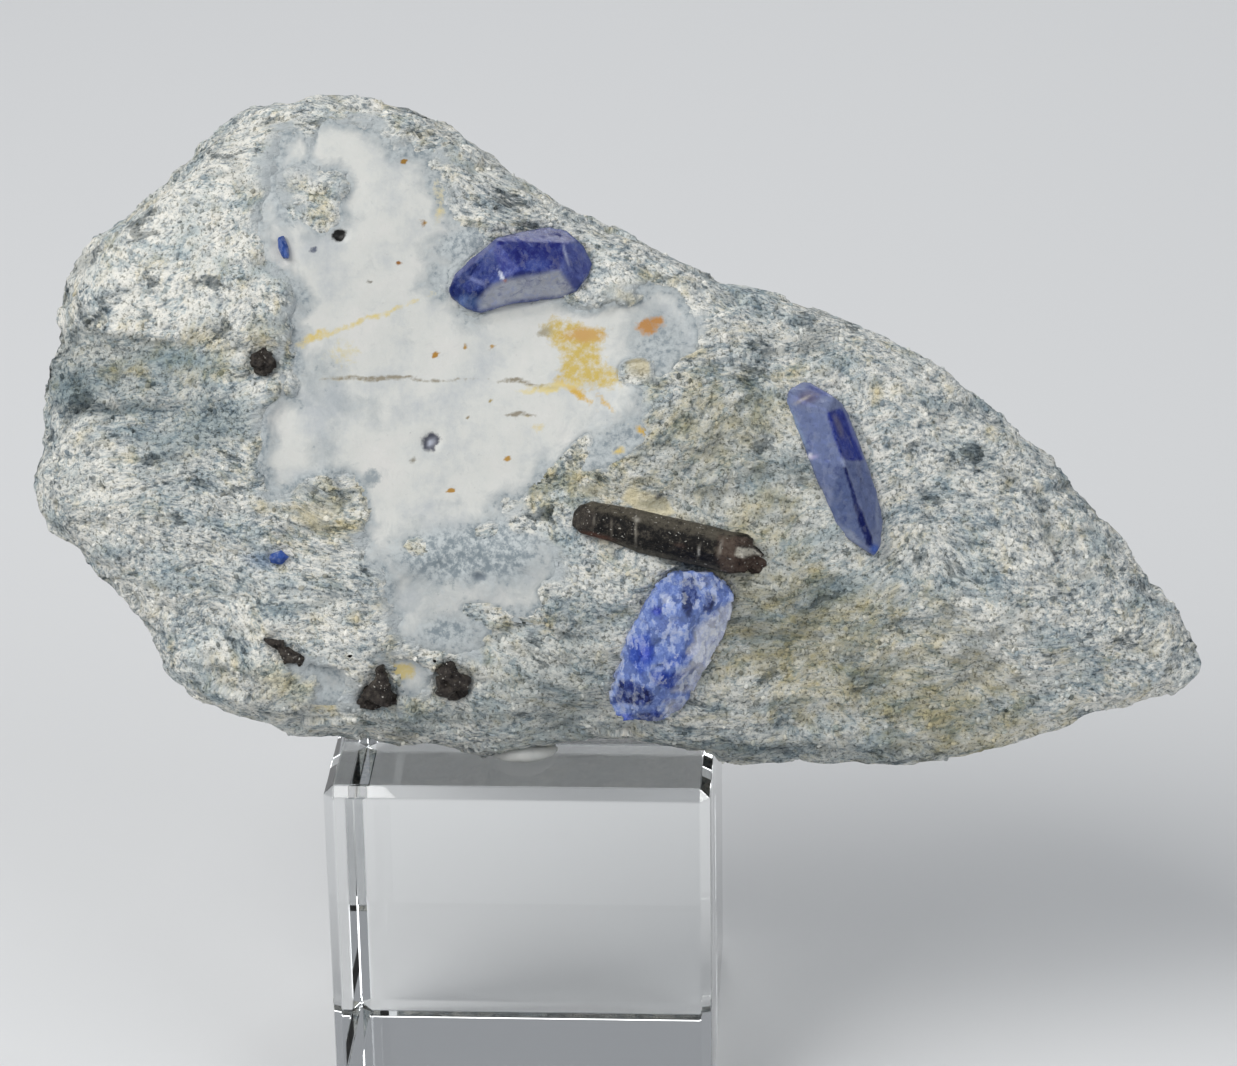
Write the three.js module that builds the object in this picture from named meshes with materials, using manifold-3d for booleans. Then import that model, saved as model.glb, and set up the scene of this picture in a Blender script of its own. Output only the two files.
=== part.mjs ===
// Benitoite and neptunite in natrolite on blueschist, resting on a clear block.
// Units are millimetres and +Z is up. The origin is the centre of the block's underside.

import * as THREE from 'three';
import { ConvexGeometry } from 'three/addons/geometries/ConvexGeometry.js';
import { mergeVertices } from 'three/addons/utils/BufferGeometryUtils.js';
import Module from 'manifold-3d';

const wasm = await Module();
wasm.setup();

// Clear block, with the point of its top where the stone's front foot stands
const BLOCK_SIZE = 38.1;
const BLOCK_CHAMFER = 1.0;
const FOOT_X = -2.0;
const FOOT_Y = -12.4;

// Space left between pieces that touch
const GAP = 0.3;

// The stone is modelled flat on, x across and z up its face, and then leans back on the block
const FACE_YAW = 3.4;
const FACE_LEAN = -23.6;
const FACE_ROLL = 0.9;

// Outer edge of the stone, clockwise from its left tip
const STONE_EDGE = [
  [-46.6, 27.6], [-46.1, 30.9], [-45.3, 33.6], [-45.7, 36.1], [-45.2, 38.3], [-43.6, 41.2],
  [-44.6, 44.6], [-43.7, 48.1], [-42.0, 50.2], [-40.1, 52.5], [-37.8, 53.8], [-34.8, 56.1],
  [-33.5, 57.8], [-31.6, 59.6], [-29.5, 62.2], [-26.9, 64.2], [-22.9, 65.7], [-17.9, 66.3],
  [-14.2, 66.2], [-10.1, 65.5], [-5.1, 63.6], [-2.7, 61.2], [0.5, 58.7], [3.1, 57.3],
  [6.8, 54.6], [9.9, 53.6], [14.1, 51.9], [17.9, 49.8], [22.1, 47.7], [26.9, 46.7],
  [31.3, 45.0], [34.8, 43.6], [37.0, 42.3], [39.8, 41.8], [44.0, 39.1], [47.7, 35.9],
  [51.7, 32.7], [55.9, 28.9], [59.1, 26.0], [60.1, 24.0], [62.7, 21.7], [64.6, 18.1],
  [68.1, 14.5], [69.2, 12.0], [69.8, 9.3], [68.6, 7.3], [65.6, 5.9], [61.5, 4.9],
  [59.4, 4.9], [56.7, 3.5], [51.7, 1.8], [45.7, 0.1], [38.6, -0.7], [31.0, -0.1],
  [24.4, -0.5], [19.9, -0.2], [15.9, 1.0], [11.9, 1.6], [7.5, 1.5], [4.0, 0.9],
  [0.3, 0.2], [-2.2, 0.3], [-4.0, 1.0], [-7.0, 0.6], [-11.4, 1.1], [-15.9, 2.2],
  [-21.9, 2.8], [-24.9, 3.8], [-28.8, 5.3], [-31.4, 6.7], [-33.8, 9.8], [-34.4, 12.0],
  [-36.3, 14.3], [-38.5, 16.8], [-40.5, 18.7], [-42.2, 20.7], [-44.9, 22.8], [-45.8, 25.4],
];
const STONE_MIDDLE = [6, 31];

// A sheet's mesh: rings round the stone's middle, each with this many points more than the one inside
const SECTORS = 6;
const STONE_RINGS = 20;
const POCKET_RINGS = 9;

// Rise of the face towards the viewer and of the back away from it, and how square their edges are
const FACE_RISE = 10.5;
const FACE_SQUARENESS = 3.4;
const BACK_RISE = 27;
const BACK_SQUARENESS = 2.6;
const LEAST_BACK_SHARE = 0.3;
const THIN_FROM = 12;
const THIN_TO = 70;
const THIN_SHARE = 0.5;

// Swells and hollows of the face: centre, half width, half height, rise
const FACE_SWELLS = [
  [-30, 53, 15, 10, 2.0],
  [-42, 39.5, 13, 3.6, -2.4],
  [-38, 27, 14, 8, 1.0],
  [-4, 42, 17, 17, -1.6],
  [22, 33, 16, 9, 0.8],
  [30, 18, 26, 7, 0.9],
  [12, 3, 30, 3.5, -1.6],
  [54, 20, 10, 8, 0.8],
];

// Flat breaks of the back: reach at the middle, slope across, slope up
const BACK_BREAKS = [
  [20.5, 0.09, 0.16],
  [24, -0.33, -0.12],
  [26, 0.44, 0.05],
  [22.5, 0.12, -0.62],
];

// Broken grain of the surfaces: spacing, rise, and how much longer it is across than up. Its finer
// part is this many times closer. It fades out over the last fifth of the way to the edge.
const GRAIN_SIZE = 6.5;
const GRAIN_STRETCH = 1.4;
const GRAIN_RISE = 1.0;
const BACK_ROUGHNESS = 1.3;
const COARSE_SHARE = 1.3;
const FINE_SHARE = 0.7;
const FINER_ACROSS = 1.9;
const FINER_UP = 2.3;
const EDGE_FADE = 5;
const FACE_SEED = 0;
const NATROLITE_SEED = 5;
const BACK_SEED = 17;

// Natrolite sits in shallow pockets: its surface lies below the schist
const NATROLITE_SINK = 0.9;
const NATROLITE_DEPTH = 4.0;
const NATROLITE_WAVE = 0.3;

const VEIN_EDGE = [
  [-21.6, 61.3], [-19.2, 62.4], [-16.3, 62.9], [-13.3, 62.8], [-10.9, 61.6], [-9.9, 60.3],
  [-8.5, 60.8], [-6.5, 59.4], [-5.6, 56.4], [-4.6, 53.0], [-4.1, 52.1], [-5.6, 50.1],
  [-6.0, 47.7], [-5.0, 45.6], [-3.1, 43.5], [0.3, 44.2], [4.2, 45.2], [6.6, 45.4],
  [10.0, 44.3], [12.4, 44.7], [14.8, 46.2], [16.8, 45.3], [18.7, 42.8], [18.9, 40.9],
  [15.8, 40.4], [12.9, 39.0], [12.1, 36.0], [10.0, 33.6], [9.0, 32.2], [7.1, 30.7],
  [5.1, 28.8], [3.2, 25.8], [0.3, 25.4], [-2.6, 23.9], [-5.6, 22.9], [-8.5, 21.5],
  [-11.4, 21.0], [-13.3, 22.9], [-14.3, 25.4], [-15.3, 27.8], [-16.7, 28.8], [-18.2, 27.8],
  [-20.1, 26.3], [-22.3, 25.8], [-22.9, 27.8], [-22.3, 31.7], [-22.1, 34.1], [-20.6, 35.6],
  [-20.2, 38.5], [-20.4, 40.9], [-20.4, 43.3], [-19.7, 45.3], [-20.6, 47.7], [-22.9, 49.0],
  [-23.4, 51.6], [-22.9, 55.0], [-21.9, 57.9],
];
const SCHIST_ISLAND = [
  [-21.0, 57.3], [-19.1, 58.0], [-16.2, 57.7], [-15.0, 56.9], [-15.4, 54.5], [-16.2, 52.8],
  [-18.2, 52.5], [-20.1, 53.5], [-21.1, 54.9],
];
const LOWER_PATCH = [
  [-10.9, 16.1], [-9.4, 18.1], [-6.5, 19.0], [-4.6, 20.4], [-1.7, 20.5], [0.3, 19.8],
  [2.7, 19.0], [4.6, 18.1], [5.1, 16.1], [3.2, 14.5], [0.3, 15.0], [-1.7, 14.4],
  [-2.6, 12.2], [-4.6, 11.5], [-6.3, 12.2], [-8.5, 14.0], [-10.4, 14.4],
];
const LEFT_POCKET = [
  [-18.7, 9.8], [-17.2, 10.3], [-15.8, 9.5], [-14.7, 8.2], [-15.0, 6.9], [-16.1, 6.5],
  [-17.4, 6.9], [-18.0, 8.3],
];
const RIGHT_POCKET = [
  [-10.6, 10.1], [-9.4, 10.6], [-7.7, 10.1], [-6.8, 9.1], [-7.3, 7.4], [-8.3, 6.6],
  [-9.2, 6.8], [-9.6, 8.3],
];

// White lens under the front foot
const FOOT_LENS = { middle: [2.2, 5, 0.6], half: [4.6, 6.5, 1.5] };
const LENS_SEGMENTS = 20;
const LENS_RINGS = 10;

// Crystals: an outline, the depth below the face, the height above it, and the planes of the
// faces on top. Each plane goes through three points given as x, z and lift above the schist.
const CRYSTALS = {
  benitoite_upper: {
    outline: [
      [-4.8, 46.2], [-4.3, 47.7], [-2.6, 49.3], [0.0, 51.3], [2.2, 52.0], [5.0, 52.6],
      [6.6, 52.2], [8.3, 50.7], [9.2, 48.9], [8.8, 47.6], [7.6, 46.1], [6.1, 45.5],
      [1.3, 44.9], [-1.6, 44.0], [-3.1, 44.4], [-4.5, 45.5],
    ],
    depth: 2.8,
    height: 4,
    faces: [
      [[0.0, 50.9, 2.5], [6.8, 50.8, 2.3], [6.3, 48.0, 2.9]],
      [[0.0, 50.9, 2.5], [6.8, 50.8, 2.3], [3.6, 52.4, 0.5]],
      [[6.8, 50.8, 2.3], [6.3, 48.0, 2.9], [9.0, 48.9, 0.5]],
      [[6.3, 48.0, 2.9], [1.1, 47.3, 3.0], [3.4, 45.4, 0.4]],
      [[0.0, 50.9, 2.5], [1.1, 47.3, 3.0], [-3.4, 45.6, 1.6]],
      [[0.0, 50.9, 2.5], [-3.0, 46.4, 1.9], [-3.5, 48.6, 0.4]],
      [[-3.0, 46.4, 1.9], [-2.9, 45.2, 1.6], [-4.7, 46.2, 0.3]],
      [[1.1, 47.3, 3.0], [-2.6, 45.4, 1.6], [-1.2, 44.2, 0.3]],
    ],
    colour: 0x2e3a8c,
  },
  benitoite_right: {
    outline: [
      [27.9, 35.3], [28.4, 36.7], [29.4, 37.4], [30.5, 37.3], [33.5, 35.3], [34.2, 34.1],
      [35.7, 30.2], [36.9, 26.6], [37.5, 23.9], [37.2, 21.3], [36.6, 20.3], [35.8, 20.8],
      [34.2, 21.9], [33.1, 23.1], [32.1, 25.3], [30.8, 28.2], [29.9, 30.7], [28.9, 33.1],
    ],
    depth: 2.6,
    height: 4,
    faces: [
      [[32.0, 34.6, 2.6], [33.6, 29.0, 3.0], [29.3, 31.8, 0.5]],
      [[33.6, 29.0, 3.0], [36.1, 22.2, 1.7], [31.9, 25.4, 0.4]],
      [[32.0, 34.6, 2.6], [33.6, 29.0, 3.0], [35.6, 30.2, 0.6]],
      [[33.6, 29.0, 3.0], [36.1, 22.2, 1.7], [37.0, 26.0, 0.5]],
      [[32.0, 34.6, 2.6], [29.6, 35.0, 1.8], [31.4, 36.8, 0.5]],
      [[36.1, 22.2, 1.7], [34.9, 22.6, 1.4], [36.2, 20.4, 0.3]],
    ],
    colour: 0x3a4590,
  },
  benitoite_lower: {
    outline: [
      [10.4, 4.6], [11.2, 8.4], [12.5, 12.3], [13.1, 13.7], [14.4, 16.1], [15.8, 18.1],
      [17.3, 18.9], [18.7, 19.1], [20.8, 18.7], [22.8, 17.4], [22.9, 15.2], [22.1, 12.7],
      [20.7, 10.3], [19.2, 7.4], [17.7, 5.0], [16.3, 3.3], [13.9, 2.8], [12.4, 3.3],
    ],
    depth: 3,
    height: 5,
    faces: [
      [[15.8, 15.6, 3.0], [14.2, 7.6, 3.4], [11.6, 10.0, 0.6]],
      [[15.8, 15.6, 3.0], [19.4, 15.4, 2.8], [17.2, 18.9, 0.6]],
      [[15.8, 15.6, 3.0], [14.2, 7.6, 3.4], [17.6, 9.6, 2.9]],
      [[19.4, 15.4, 2.8], [17.6, 9.6, 2.9], [21.9, 12.9, 0.5]],
      [[19.4, 15.4, 2.8], [19.0, 17.4, 1.9], [22.8, 16.4, 0.6]],
      [[17.6, 9.6, 2.9], [14.6, 6.2, 3.1], [18.0, 5.9, 0.4]],
      [[14.2, 7.6, 3.4], [13.2, 5.0, 2.6], [10.9, 6.4, 0.6]],
      [[13.2, 5.0, 2.6], [15.2, 5.2, 2.5], [14.0, 3.0, 0.5]],
    ],
    colour: 0x4a66c8,
  },
  neptunite_prism: {
    outline: [
      [7.2, 23.4], [7.4, 24.6], [8.0, 25.3], [9.2, 25.7], [14.0, 24.8], [20.6, 23.3],
      [24.2, 22.4], [25.4, 21.3], [26.1, 19.6], [25.4, 18.8], [22.6, 18.7], [18.7, 19.6],
      [14.0, 20.6], [11.0, 21.8], [9.0, 22.3], [8.0, 22.6],
    ],
    depth: 2.4,
    height: 4,
    faces: [
      [[8.8, 24.5, 2.4], [23.4, 21.5, 2.2], [15.0, 24.5, 0.8]],
      [[8.8, 24.5, 2.4], [23.4, 21.5, 2.2], [14.6, 21.6, 2.0]],
      [[9.4, 22.8, 1.9], [22.8, 19.9, 1.8], [15.0, 20.5, 0.5]],
      [[8.8, 24.5, 2.4], [8.6, 23.4, 2.2], [7.3, 23.6, 0.7]],
      [[23.4, 21.5, 2.2], [23.6, 20.2, 1.8], [25.6, 20.6, 0.5]],
    ],
    colour: 0x17130f,
  },
  neptunite_grain: {
    outline: [
      [-23.9, 39.8], [-22.9, 40.8], [-21.8, 40.4], [-21.6, 39.2], [-22.3, 38.0], [-23.5, 38.1],
      [-24.1, 39.1],
    ],
    depth: 1.6,
    height: 2.5,
    faces: [
      [[-23.2, 39.9, 1.3], [-22.6, 38.8, 1.5], [-21.8, 40.2, 0.3]],
      [[-23.2, 39.9, 1.3], [-22.6, 38.8, 1.5], [-23.8, 38.4, 0.3]],
      [[-22.6, 38.8, 1.5], [-22.0, 38.9, 1.0], [-22.4, 38.1, 0.3]],
    ],
    colour: 0x1c1815,
  },
  benitoite_speck_upper: {
    outline: [
      [-21.4, 51.3], [-20.8, 51.6], [-20.4, 50.6], [-20.2, 49.3], [-20.9, 49.3], [-21.4, 50.3],
    ],
    depth: 2,
    height: 1,
    faces: [
      [[-21.1, 50.9, 0.3], [-20.6, 49.8, 0.2], [-20.4, 50.8, -0.4]],
      [[-21.1, 50.9, 0.3], [-20.6, 49.8, 0.2], [-21.3, 50.2, -0.3]],
    ],
    colour: 0x32488f,
  },
  benitoite_speck_lower: {
    outline: [[-22.2, 20.5], [-21.1, 21.0], [-20.2, 20.3], [-21.0, 19.5], [-22.1, 19.7]],
    depth: 1.5,
    height: 1.5,
    faces: [
      [[-21.7, 20.2, 0.7], [-20.8, 20.3, 0.6], [-21.1, 20.9, 0.1]],
      [[-21.7, 20.2, 0.7], [-20.8, 20.3, 0.6], [-21.1, 19.6, 0.1]],
    ],
    colour: 0x3450a0,
  },
  neptunite_vein: {
    outline: [
      [-22.8, 12.3], [-21.6, 12.4], [-20.1, 11.4], [-18.8, 10.4], [-19.4, 9.4], [-20.8, 10.3],
      [-22.0, 11.4],
    ],
    depth: 1.5,
    height: 1.5,
    faces: [
      [[-22.2, 12.0, 0.5], [-19.6, 10.1, 0.6], [-20.3, 11.5, 0.0]],
      [[-22.2, 12.0, 0.5], [-19.6, 10.1, 0.6], [-20.9, 10.5, 0.0]],
    ],
    colour: 0x2a2420,
  },
  neptunite_fork: {
    outline: [
      [-14.3, 5.9], [-12.9, 7.0], [-12.0, 8.2], [-12.0, 9.3], [-11.2, 9.7], [-10.4, 7.4],
      [-10.0, 5.9], [-11.4, 5.6], [-12.8, 5.5],
    ],
    depth: 1.6,
    height: 2,
    faces: [
      [[-11.5, 9.0, 0.8], [-11.2, 6.2, 1.2], [-10.3, 7.2, 0.2]],
      [[-11.5, 9.0, 0.8], [-11.2, 6.2, 1.2], [-13.2, 6.4, 0.4]],
      [[-13.2, 6.4, 0.4], [-11.2, 6.2, 1.2], [-12.4, 5.5, 0.1]],
    ],
    colour: 0x25211e,
  },
  neptunite_cluster: {
    outline: [
      [-6.1, 7.9], [-5.6, 9.3], [-4.6, 10.2], [-3.8, 9.1], [-2.6, 8.4], [-3.2, 7.2],
      [-4.0, 6.3], [-4.8, 6.4], [-5.6, 7.0],
    ],
    depth: 1.6,
    height: 2,
    faces: [
      [[-4.8, 9.2, 0.9], [-4.3, 7.3, 1.2], [-2.9, 8.3, 0.2]],
      [[-4.8, 9.2, 0.9], [-4.3, 7.3, 1.2], [-5.8, 8.0, 0.2]],
      [[-4.3, 7.3, 1.2], [-3.4, 7.6, 0.8], [-4.3, 6.4, 0.1]],
    ],
    colour: 0x2a2521,
  },
};

// Underside of the stone over the block: arches, higher and lower by turns, between the places where
// it stands, which are its front foot and three bearings across the block
const UNDERSIDE_STEPS = 16;
const UNDERSIDE_ARCH = 2.2;
const ARCH_LEAST = 0.6;
const ARCH_VARIATION = 0.8;
const ARCH_SPACING = 6;
const ARCH_SEED = 40;
const FOOT_WIDTH = 5;
const FOOT_LENGTH = 9;
const LEFT_BEARING_X = -15;
const RIGHT_BEARING_X = 17;
const REAR_BEARING_Y = 6;
const BEARING_WIDTH = 4;

// How high and how deep the cutting walls of pockets and sockets reach
const HIGHEST = 20;
const DEEPEST = -12;

// Points nearer than this are one, and shares nearer than this are equal
const MERGE_DISTANCE = 1e-4;
const TINY = 1e-9;

// An outline that is moved sideways moves its sharp corners at most twice as far
const SHARPEST_CORNER = 0.5;

// Finishes
const SCHIST = { color: 0xa7aeb0, roughness: 0.9 };
const NATROLITE = { color: 0xd9d7d0, roughness: 0.55 };
const CRYSTAL_ROUGHNESS = 0.12;
const ACRYLIC = { color: 0xf4f7f8, roughness: 0.04, transparent: true, opacity: 0.3 };

// Smooth random value from 0 to 1 on a square lattice
function lattice(i, j) {
  const wave = Math.sin(i * 127.1 + j * 311.7) * 43758.5453;
  return wave - Math.floor(wave);
}

function noise(x, z) {
  const i = Math.floor(x);
  const j = Math.floor(z);
  const u = THREE.MathUtils.smoothstep(x - i, 0, 1);
  const v = THREE.MathUtils.smoothstep(z - j, 0, 1);
  const low = THREE.MathUtils.lerp(lattice(i, j), lattice(i + 1, j), u);
  const high = THREE.MathUtils.lerp(lattice(i, j + 1), lattice(i + 1, j + 1), u);
  return THREE.MathUtils.lerp(low, high, v);
}

// Rough broken grain, from -1 to 1, a little longer across than up
function grain(x, z, seed) {
  const across = x / GRAIN_SIZE;
  const up = z / GRAIN_SIZE;
  const coarse = noise(across / GRAIN_STRETCH + seed, up + seed) - 0.5;
  const fine = noise(across * FINER_ACROSS + seed, up * FINER_UP - seed) - 0.5;
  return COARSE_SHARE * coarse + FINE_SHARE * fine;
}

// Points spaced evenly along a closed outline
function evenPoints(outline, count) {
  const path = new THREE.Path(outline.map(([x, z]) => new THREE.Vector2(x, z)));
  path.autoClose = true;
  return Array.from({ length: count }, (_, index) => path.getPointAt(index / count));
}

const edgePoints = evenPoints(STONE_EDGE, SECTORS * STONE_RINGS);

// Distance from the stone's middle as a share of the way to its edge
function edgeShare(x, z) {
  const [mx, mz] = STONE_MIDDLE;
  const dx = x - mx;
  const dz = z - mz;
  if (Math.hypot(dx, dz) < TINY) {
    return 0;
  }
  for (let index = 0; index < edgePoints.length; index++) {
    const a = edgePoints[index];
    const b = edgePoints[(index + 1) % edgePoints.length];
    const ax = a.x - mx;
    const az = a.y - mz;
    const bx = b.x - a.x;
    const bz = b.y - a.y;
    const det = bx * dz - bz * dx;
    const along = (az * dx - ax * dz) / det;
    const scale = (az * bx - ax * bz) / det;
    if (scale > 0 && along >= -TINY && along <= 1 + TINY) {
      return Math.min(1, 1 / scale);
    }
  }
  return 1;
}

function thinning(x) {
  return 1 - THIN_SHARE * THREE.MathUtils.smoothstep(x, THIN_FROM, THIN_TO);
}

// Height of the smooth face towards the viewer
function faceHeight(x, z, share = edgeShare(x, z)) {
  let rise = FACE_RISE * thinning(x);
  for (const [cx, cz, wide, tall, amount] of FACE_SWELLS) {
    rise += amount * Math.exp(-(((x - cx) / wide) ** 2) - ((z - cz) / tall) ** 2);
  }
  return rise * Math.sqrt(1 - share ** FACE_SQUARENESS);
}

// Share of the grain's rise that is left near the edge
function edgeFade(share) {
  return Math.min(1, EDGE_FADE * (1 - share));
}

function roughFace(x, z, share) {
  return faceHeight(x, z, share) + edgeFade(share) * GRAIN_RISE * grain(x, z, FACE_SEED);
}

// Domed back, broken flat where one of the planes lies inside the dome
function backHeight(x, z, share) {
  const [mx, mz] = STONE_MIDDLE;
  const reaches = BACK_BREAKS.map(([reach, across, up]) => reach + across * (x - mx) + up * (z - mz));
  const dome = BACK_RISE * thinning(x) * Math.sqrt(1 - share ** BACK_SQUARENESS);
  const rise = Math.min(dome, Math.max(Math.min(...reaches), LEAST_BACK_SHARE * dome));
  return -rise - edgeFade(share) * BACK_ROUGHNESS * grain(x, z, BACK_SEED);
}

// Closed solid between a front and a back sheet over a star-shaped outline. The sheets give heights
// towards the viewer from x, z and the share of the way to the edge.
function sheetSolid(rim, middle, front, back) {
  const rings = rim.length / SECTORS;
  const [mx, mz] = middle;
  const positions = [];
  const sheetIndex = (sheet) => {
    const rows = [];
    for (let ring = 0; ring <= rings; ring++) {
      const share = ring / rings;
      const row = [];
      for (let step = 0; step < Math.max(1, SECTORS * ring); step++) {
        const target = rimPoint(rim, ring === 0 ? 0 : step / (SECTORS * ring));
        const x = mx + share * (target.x - mx);
        const z = mz + share * (target.y - mz);
        row.push(positions.length / 3);
        positions.push(x, -sheet(x, z, share), z);
      }
      rows.push(row);
    }
    return rows;
  };
  const faces = [];
  const addSheet = (rows, flip) => {
    for (let ring = 1; ring <= rings; ring++) {
      for (let side = 0; side < SECTORS; side++) {
        for (let step = 0; step < ring; step++) {
          const outer = rows[ring];
          const inner = rows[ring - 1];
          const a = outer[side * ring + step];
          const b = outer[(side * ring + step + 1) % outer.length];
          const c = inner[(side * (ring - 1) + step) % inner.length];
          faces.push(...(flip ? [a, b, c] : [a, c, b]));
          if (step < ring - 1) {
            const d = inner[(side * (ring - 1) + step + 1) % inner.length];
            faces.push(...(flip ? [b, d, c] : [b, c, d]));
          }
        }
      }
    }
  };
  const frontRows = sheetIndex(front);
  const backRows = sheetIndex(back);
  addSheet(frontRows, false);
  addSheet(backRows, true);
  const frontRim = frontRows[rings];
  const backRim = backRows[rings];
  for (let step = 0; step < frontRim.length; step++) {
    const next = (step + 1) % frontRim.length;
    faces.push(frontRim[step], frontRim[next], backRim[step]);
    faces.push(frontRim[next], backRim[next], backRim[step]);
  }
  return closedMesh(positions, faces);
}

// Point at a share of the way round a list of evenly spaced points
function rimPoint(rim, share) {
  const place = share * rim.length;
  const index = Math.floor(place + TINY);
  const a = rim[index % rim.length];
  const b = rim[(index + 1) % rim.length];
  return a.clone().lerp(b, Math.max(0, place - index));
}

// Merges shared points and drops the triangles that this closes up
function closedMesh(positions, faces) {
  const geometry = new THREE.BufferGeometry();
  geometry.setAttribute('position', new THREE.Float32BufferAttribute(positions, 3));
  geometry.setIndex(faces);
  const merged = mergeVertices(geometry, MERGE_DISTANCE);
  const index = merged.index.array;
  const kept = [];
  for (let at = 0; at < index.length; at += 3) {
    const [a, b, c] = [index[at], index[at + 1], index[at + 2]];
    if (a !== b && b !== c && c !== a) {
      kept.push(a, b, c);
    }
  }
  merged.setIndex(kept);
  return merged;
}

function toSolid(geometry) {
  const bare = geometry.clone();
  bare.deleteAttribute('normal');
  bare.deleteAttribute('uv');
  const merged = mergeVertices(bare, MERGE_DISTANCE);
  return new wasm.Manifold(new wasm.Mesh({
    numProp: 3,
    vertProperties: new Float32Array(merged.attributes.position.array),
    triVerts: new Uint32Array(merged.index.array),
  }));
}

function toGeometry(solid) {
  const mesh = solid.getMesh();
  const geometry = new THREE.BufferGeometry();
  geometry.setAttribute('position', new THREE.BufferAttribute(new Float32Array(mesh.vertProperties), 3));
  geometry.setIndex(new THREE.BufferAttribute(new Uint32Array(mesh.triVerts), 1));
  return geometry;
}

// Straight walls over an outline, between two heights towards the viewer
function prism(outline, from, to) {
  const shape = new THREE.Shape(outline.map(([x, z]) => new THREE.Vector2(x, z)));
  const geometry = new THREE.ExtrudeGeometry(shape, { depth: to - from, bevelEnabled: false });
  geometry.translate(0, 0, from);
  geometry.rotateX(Math.PI / 2);
  return toSolid(geometry);
}

// Outline moved outwards by a distance, or inwards where it is negative
function spread(outline, distance) {
  const points = outline.map(([x, z]) => new THREE.Vector2(x, z));
  const turn = Math.sign(THREE.ShapeUtils.area(points));
  return points.map((point, index) => {
    const before = points.at(index - 1);
    const after = points[(index + 1) % points.length];
    const into = point.clone().sub(before).normalize();
    const out = after.clone().sub(point).normalize();
    const normal = new THREE.Vector2(into.y + out.y, -into.x - out.x).normalize().multiplyScalar(turn);
    const across = new THREE.Vector2(into.y, -into.x).multiplyScalar(turn);
    const corner = Math.max(SHARPEST_CORNER, normal.dot(across));
    return [point.x + normal.x * distance / corner, point.y + normal.y * distance / corner];
  });
}

// Slice of the stone's inside that follows its face between two depths
const pocketRim = evenPoints(STONE_EDGE, SECTORS * POCKET_RINGS);

function layer(top, bottom) {
  return toSolid(sheetSolid(pocketRim, STONE_MIDDLE,
    (x, z, share) => faceHeight(x, z, share) + top, (x, z, share) => faceHeight(x, z, share) + bottom));
}

function natroliteTop(x, z, share) {
  return faceHeight(x, z, share) - NATROLITE_SINK + NATROLITE_WAVE * grain(x, z, NATROLITE_SEED);
}

const NATROLITE_FLOOR = -NATROLITE_SINK - NATROLITE_DEPTH;
const pocketLayer = layer(HIGHEST, NATROLITE_FLOOR - GAP);
const natroliteLayer = layer(HIGHEST, NATROLITE_FLOOR).intersect(
  toSolid(sheetSolid(edgePoints, STONE_MIDDLE, natroliteTop, () => DEEPEST)));

function natrolite(outline, island) {
  let solid = prism(outline, DEEPEST, HIGHEST);
  if (island) {
    solid = solid.subtract(prism(spread(island, GAP), DEEPEST, HIGHEST));
  }
  return solid.intersect(natroliteLayer);
}

function natrolitePocket(outline, island) {
  let solid = prism(spread(outline, GAP), DEEPEST, HIGHEST);
  if (island) {
    solid = solid.subtract(prism(island, DEEPEST - GAP, HIGHEST + GAP));
  }
  return solid.intersect(pocketLayer);
}

// Crystal cut from straight walls by the planes of its faces
function crystal({ outline, depth, height, faces }) {
  const middle = outlineMiddle(outline);
  const seat = faceHeight(...middle);
  let solid = prism(outline, seat - depth, seat + height);
  const core = new THREE.Vector3(middle[0], -(seat - depth), middle[1]);
  for (const corners of faces) {
    const points = corners.map(([x, z, lift]) => new THREE.Vector3(x, -(faceHeight(x, z) + lift), z));
    const plane = new THREE.Plane().setFromCoplanarPoints(...points);
    if (plane.distanceToPoint(core) < 0) {
      plane.negate();
    }
    solid = solid.trimByPlane(plane.normal.toArray(), -plane.constant);
  }
  return solid;
}

function socket({ outline, depth }) {
  const seat = faceHeight(...outlineMiddle(outline));
  return prism(spread(outline, GAP), seat - depth - GAP, HIGHEST);
}

function outlineMiddle(outline) {
  const sum = outline.reduce(([sx, sz], [x, z]) => [sx + x, sz + z], [0, 0]);
  return sum.map((value) => value / outline.length);
}

function lens({ middle, half }, grow) {
  const geometry = new THREE.SphereGeometry(1, LENS_SEGMENTS, LENS_RINGS);
  geometry.rotateX(Math.PI / 2);
  geometry.scale(...half.map((value) => value + grow));
  geometry.translate(...middle);
  return toSolid(geometry);
}

// Pose of the stone on the block
const stonePlace = new THREE.Group();
stonePlace.position.set(FOOT_X, FOOT_Y, BLOCK_SIZE);
stonePlace.rotation.order = 'ZXY';
stonePlace.rotation.set(...[FACE_LEAN, FACE_ROLL, FACE_YAW].map(THREE.MathUtils.degToRad));
stonePlace.updateMatrixWorld(true);

// Soft hump, 1 at its middle
function hump(distance, width) {
  return Math.exp(-((distance / width) ** 2));
}

// How much the stone stands on the block at a point, from 0 to 1 or more
function standing(x, y) {
  return hump(x - FOOT_X, FOOT_WIDTH) * hump(y - FOOT_Y, FOOT_LENGTH)
    + hump(x - RIGHT_BEARING_X, BEARING_WIDTH) + hump(x - LEFT_BEARING_X, BEARING_WIDTH)
    + hump(y - REAR_BEARING_Y, BEARING_WIDTH);
}

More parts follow.
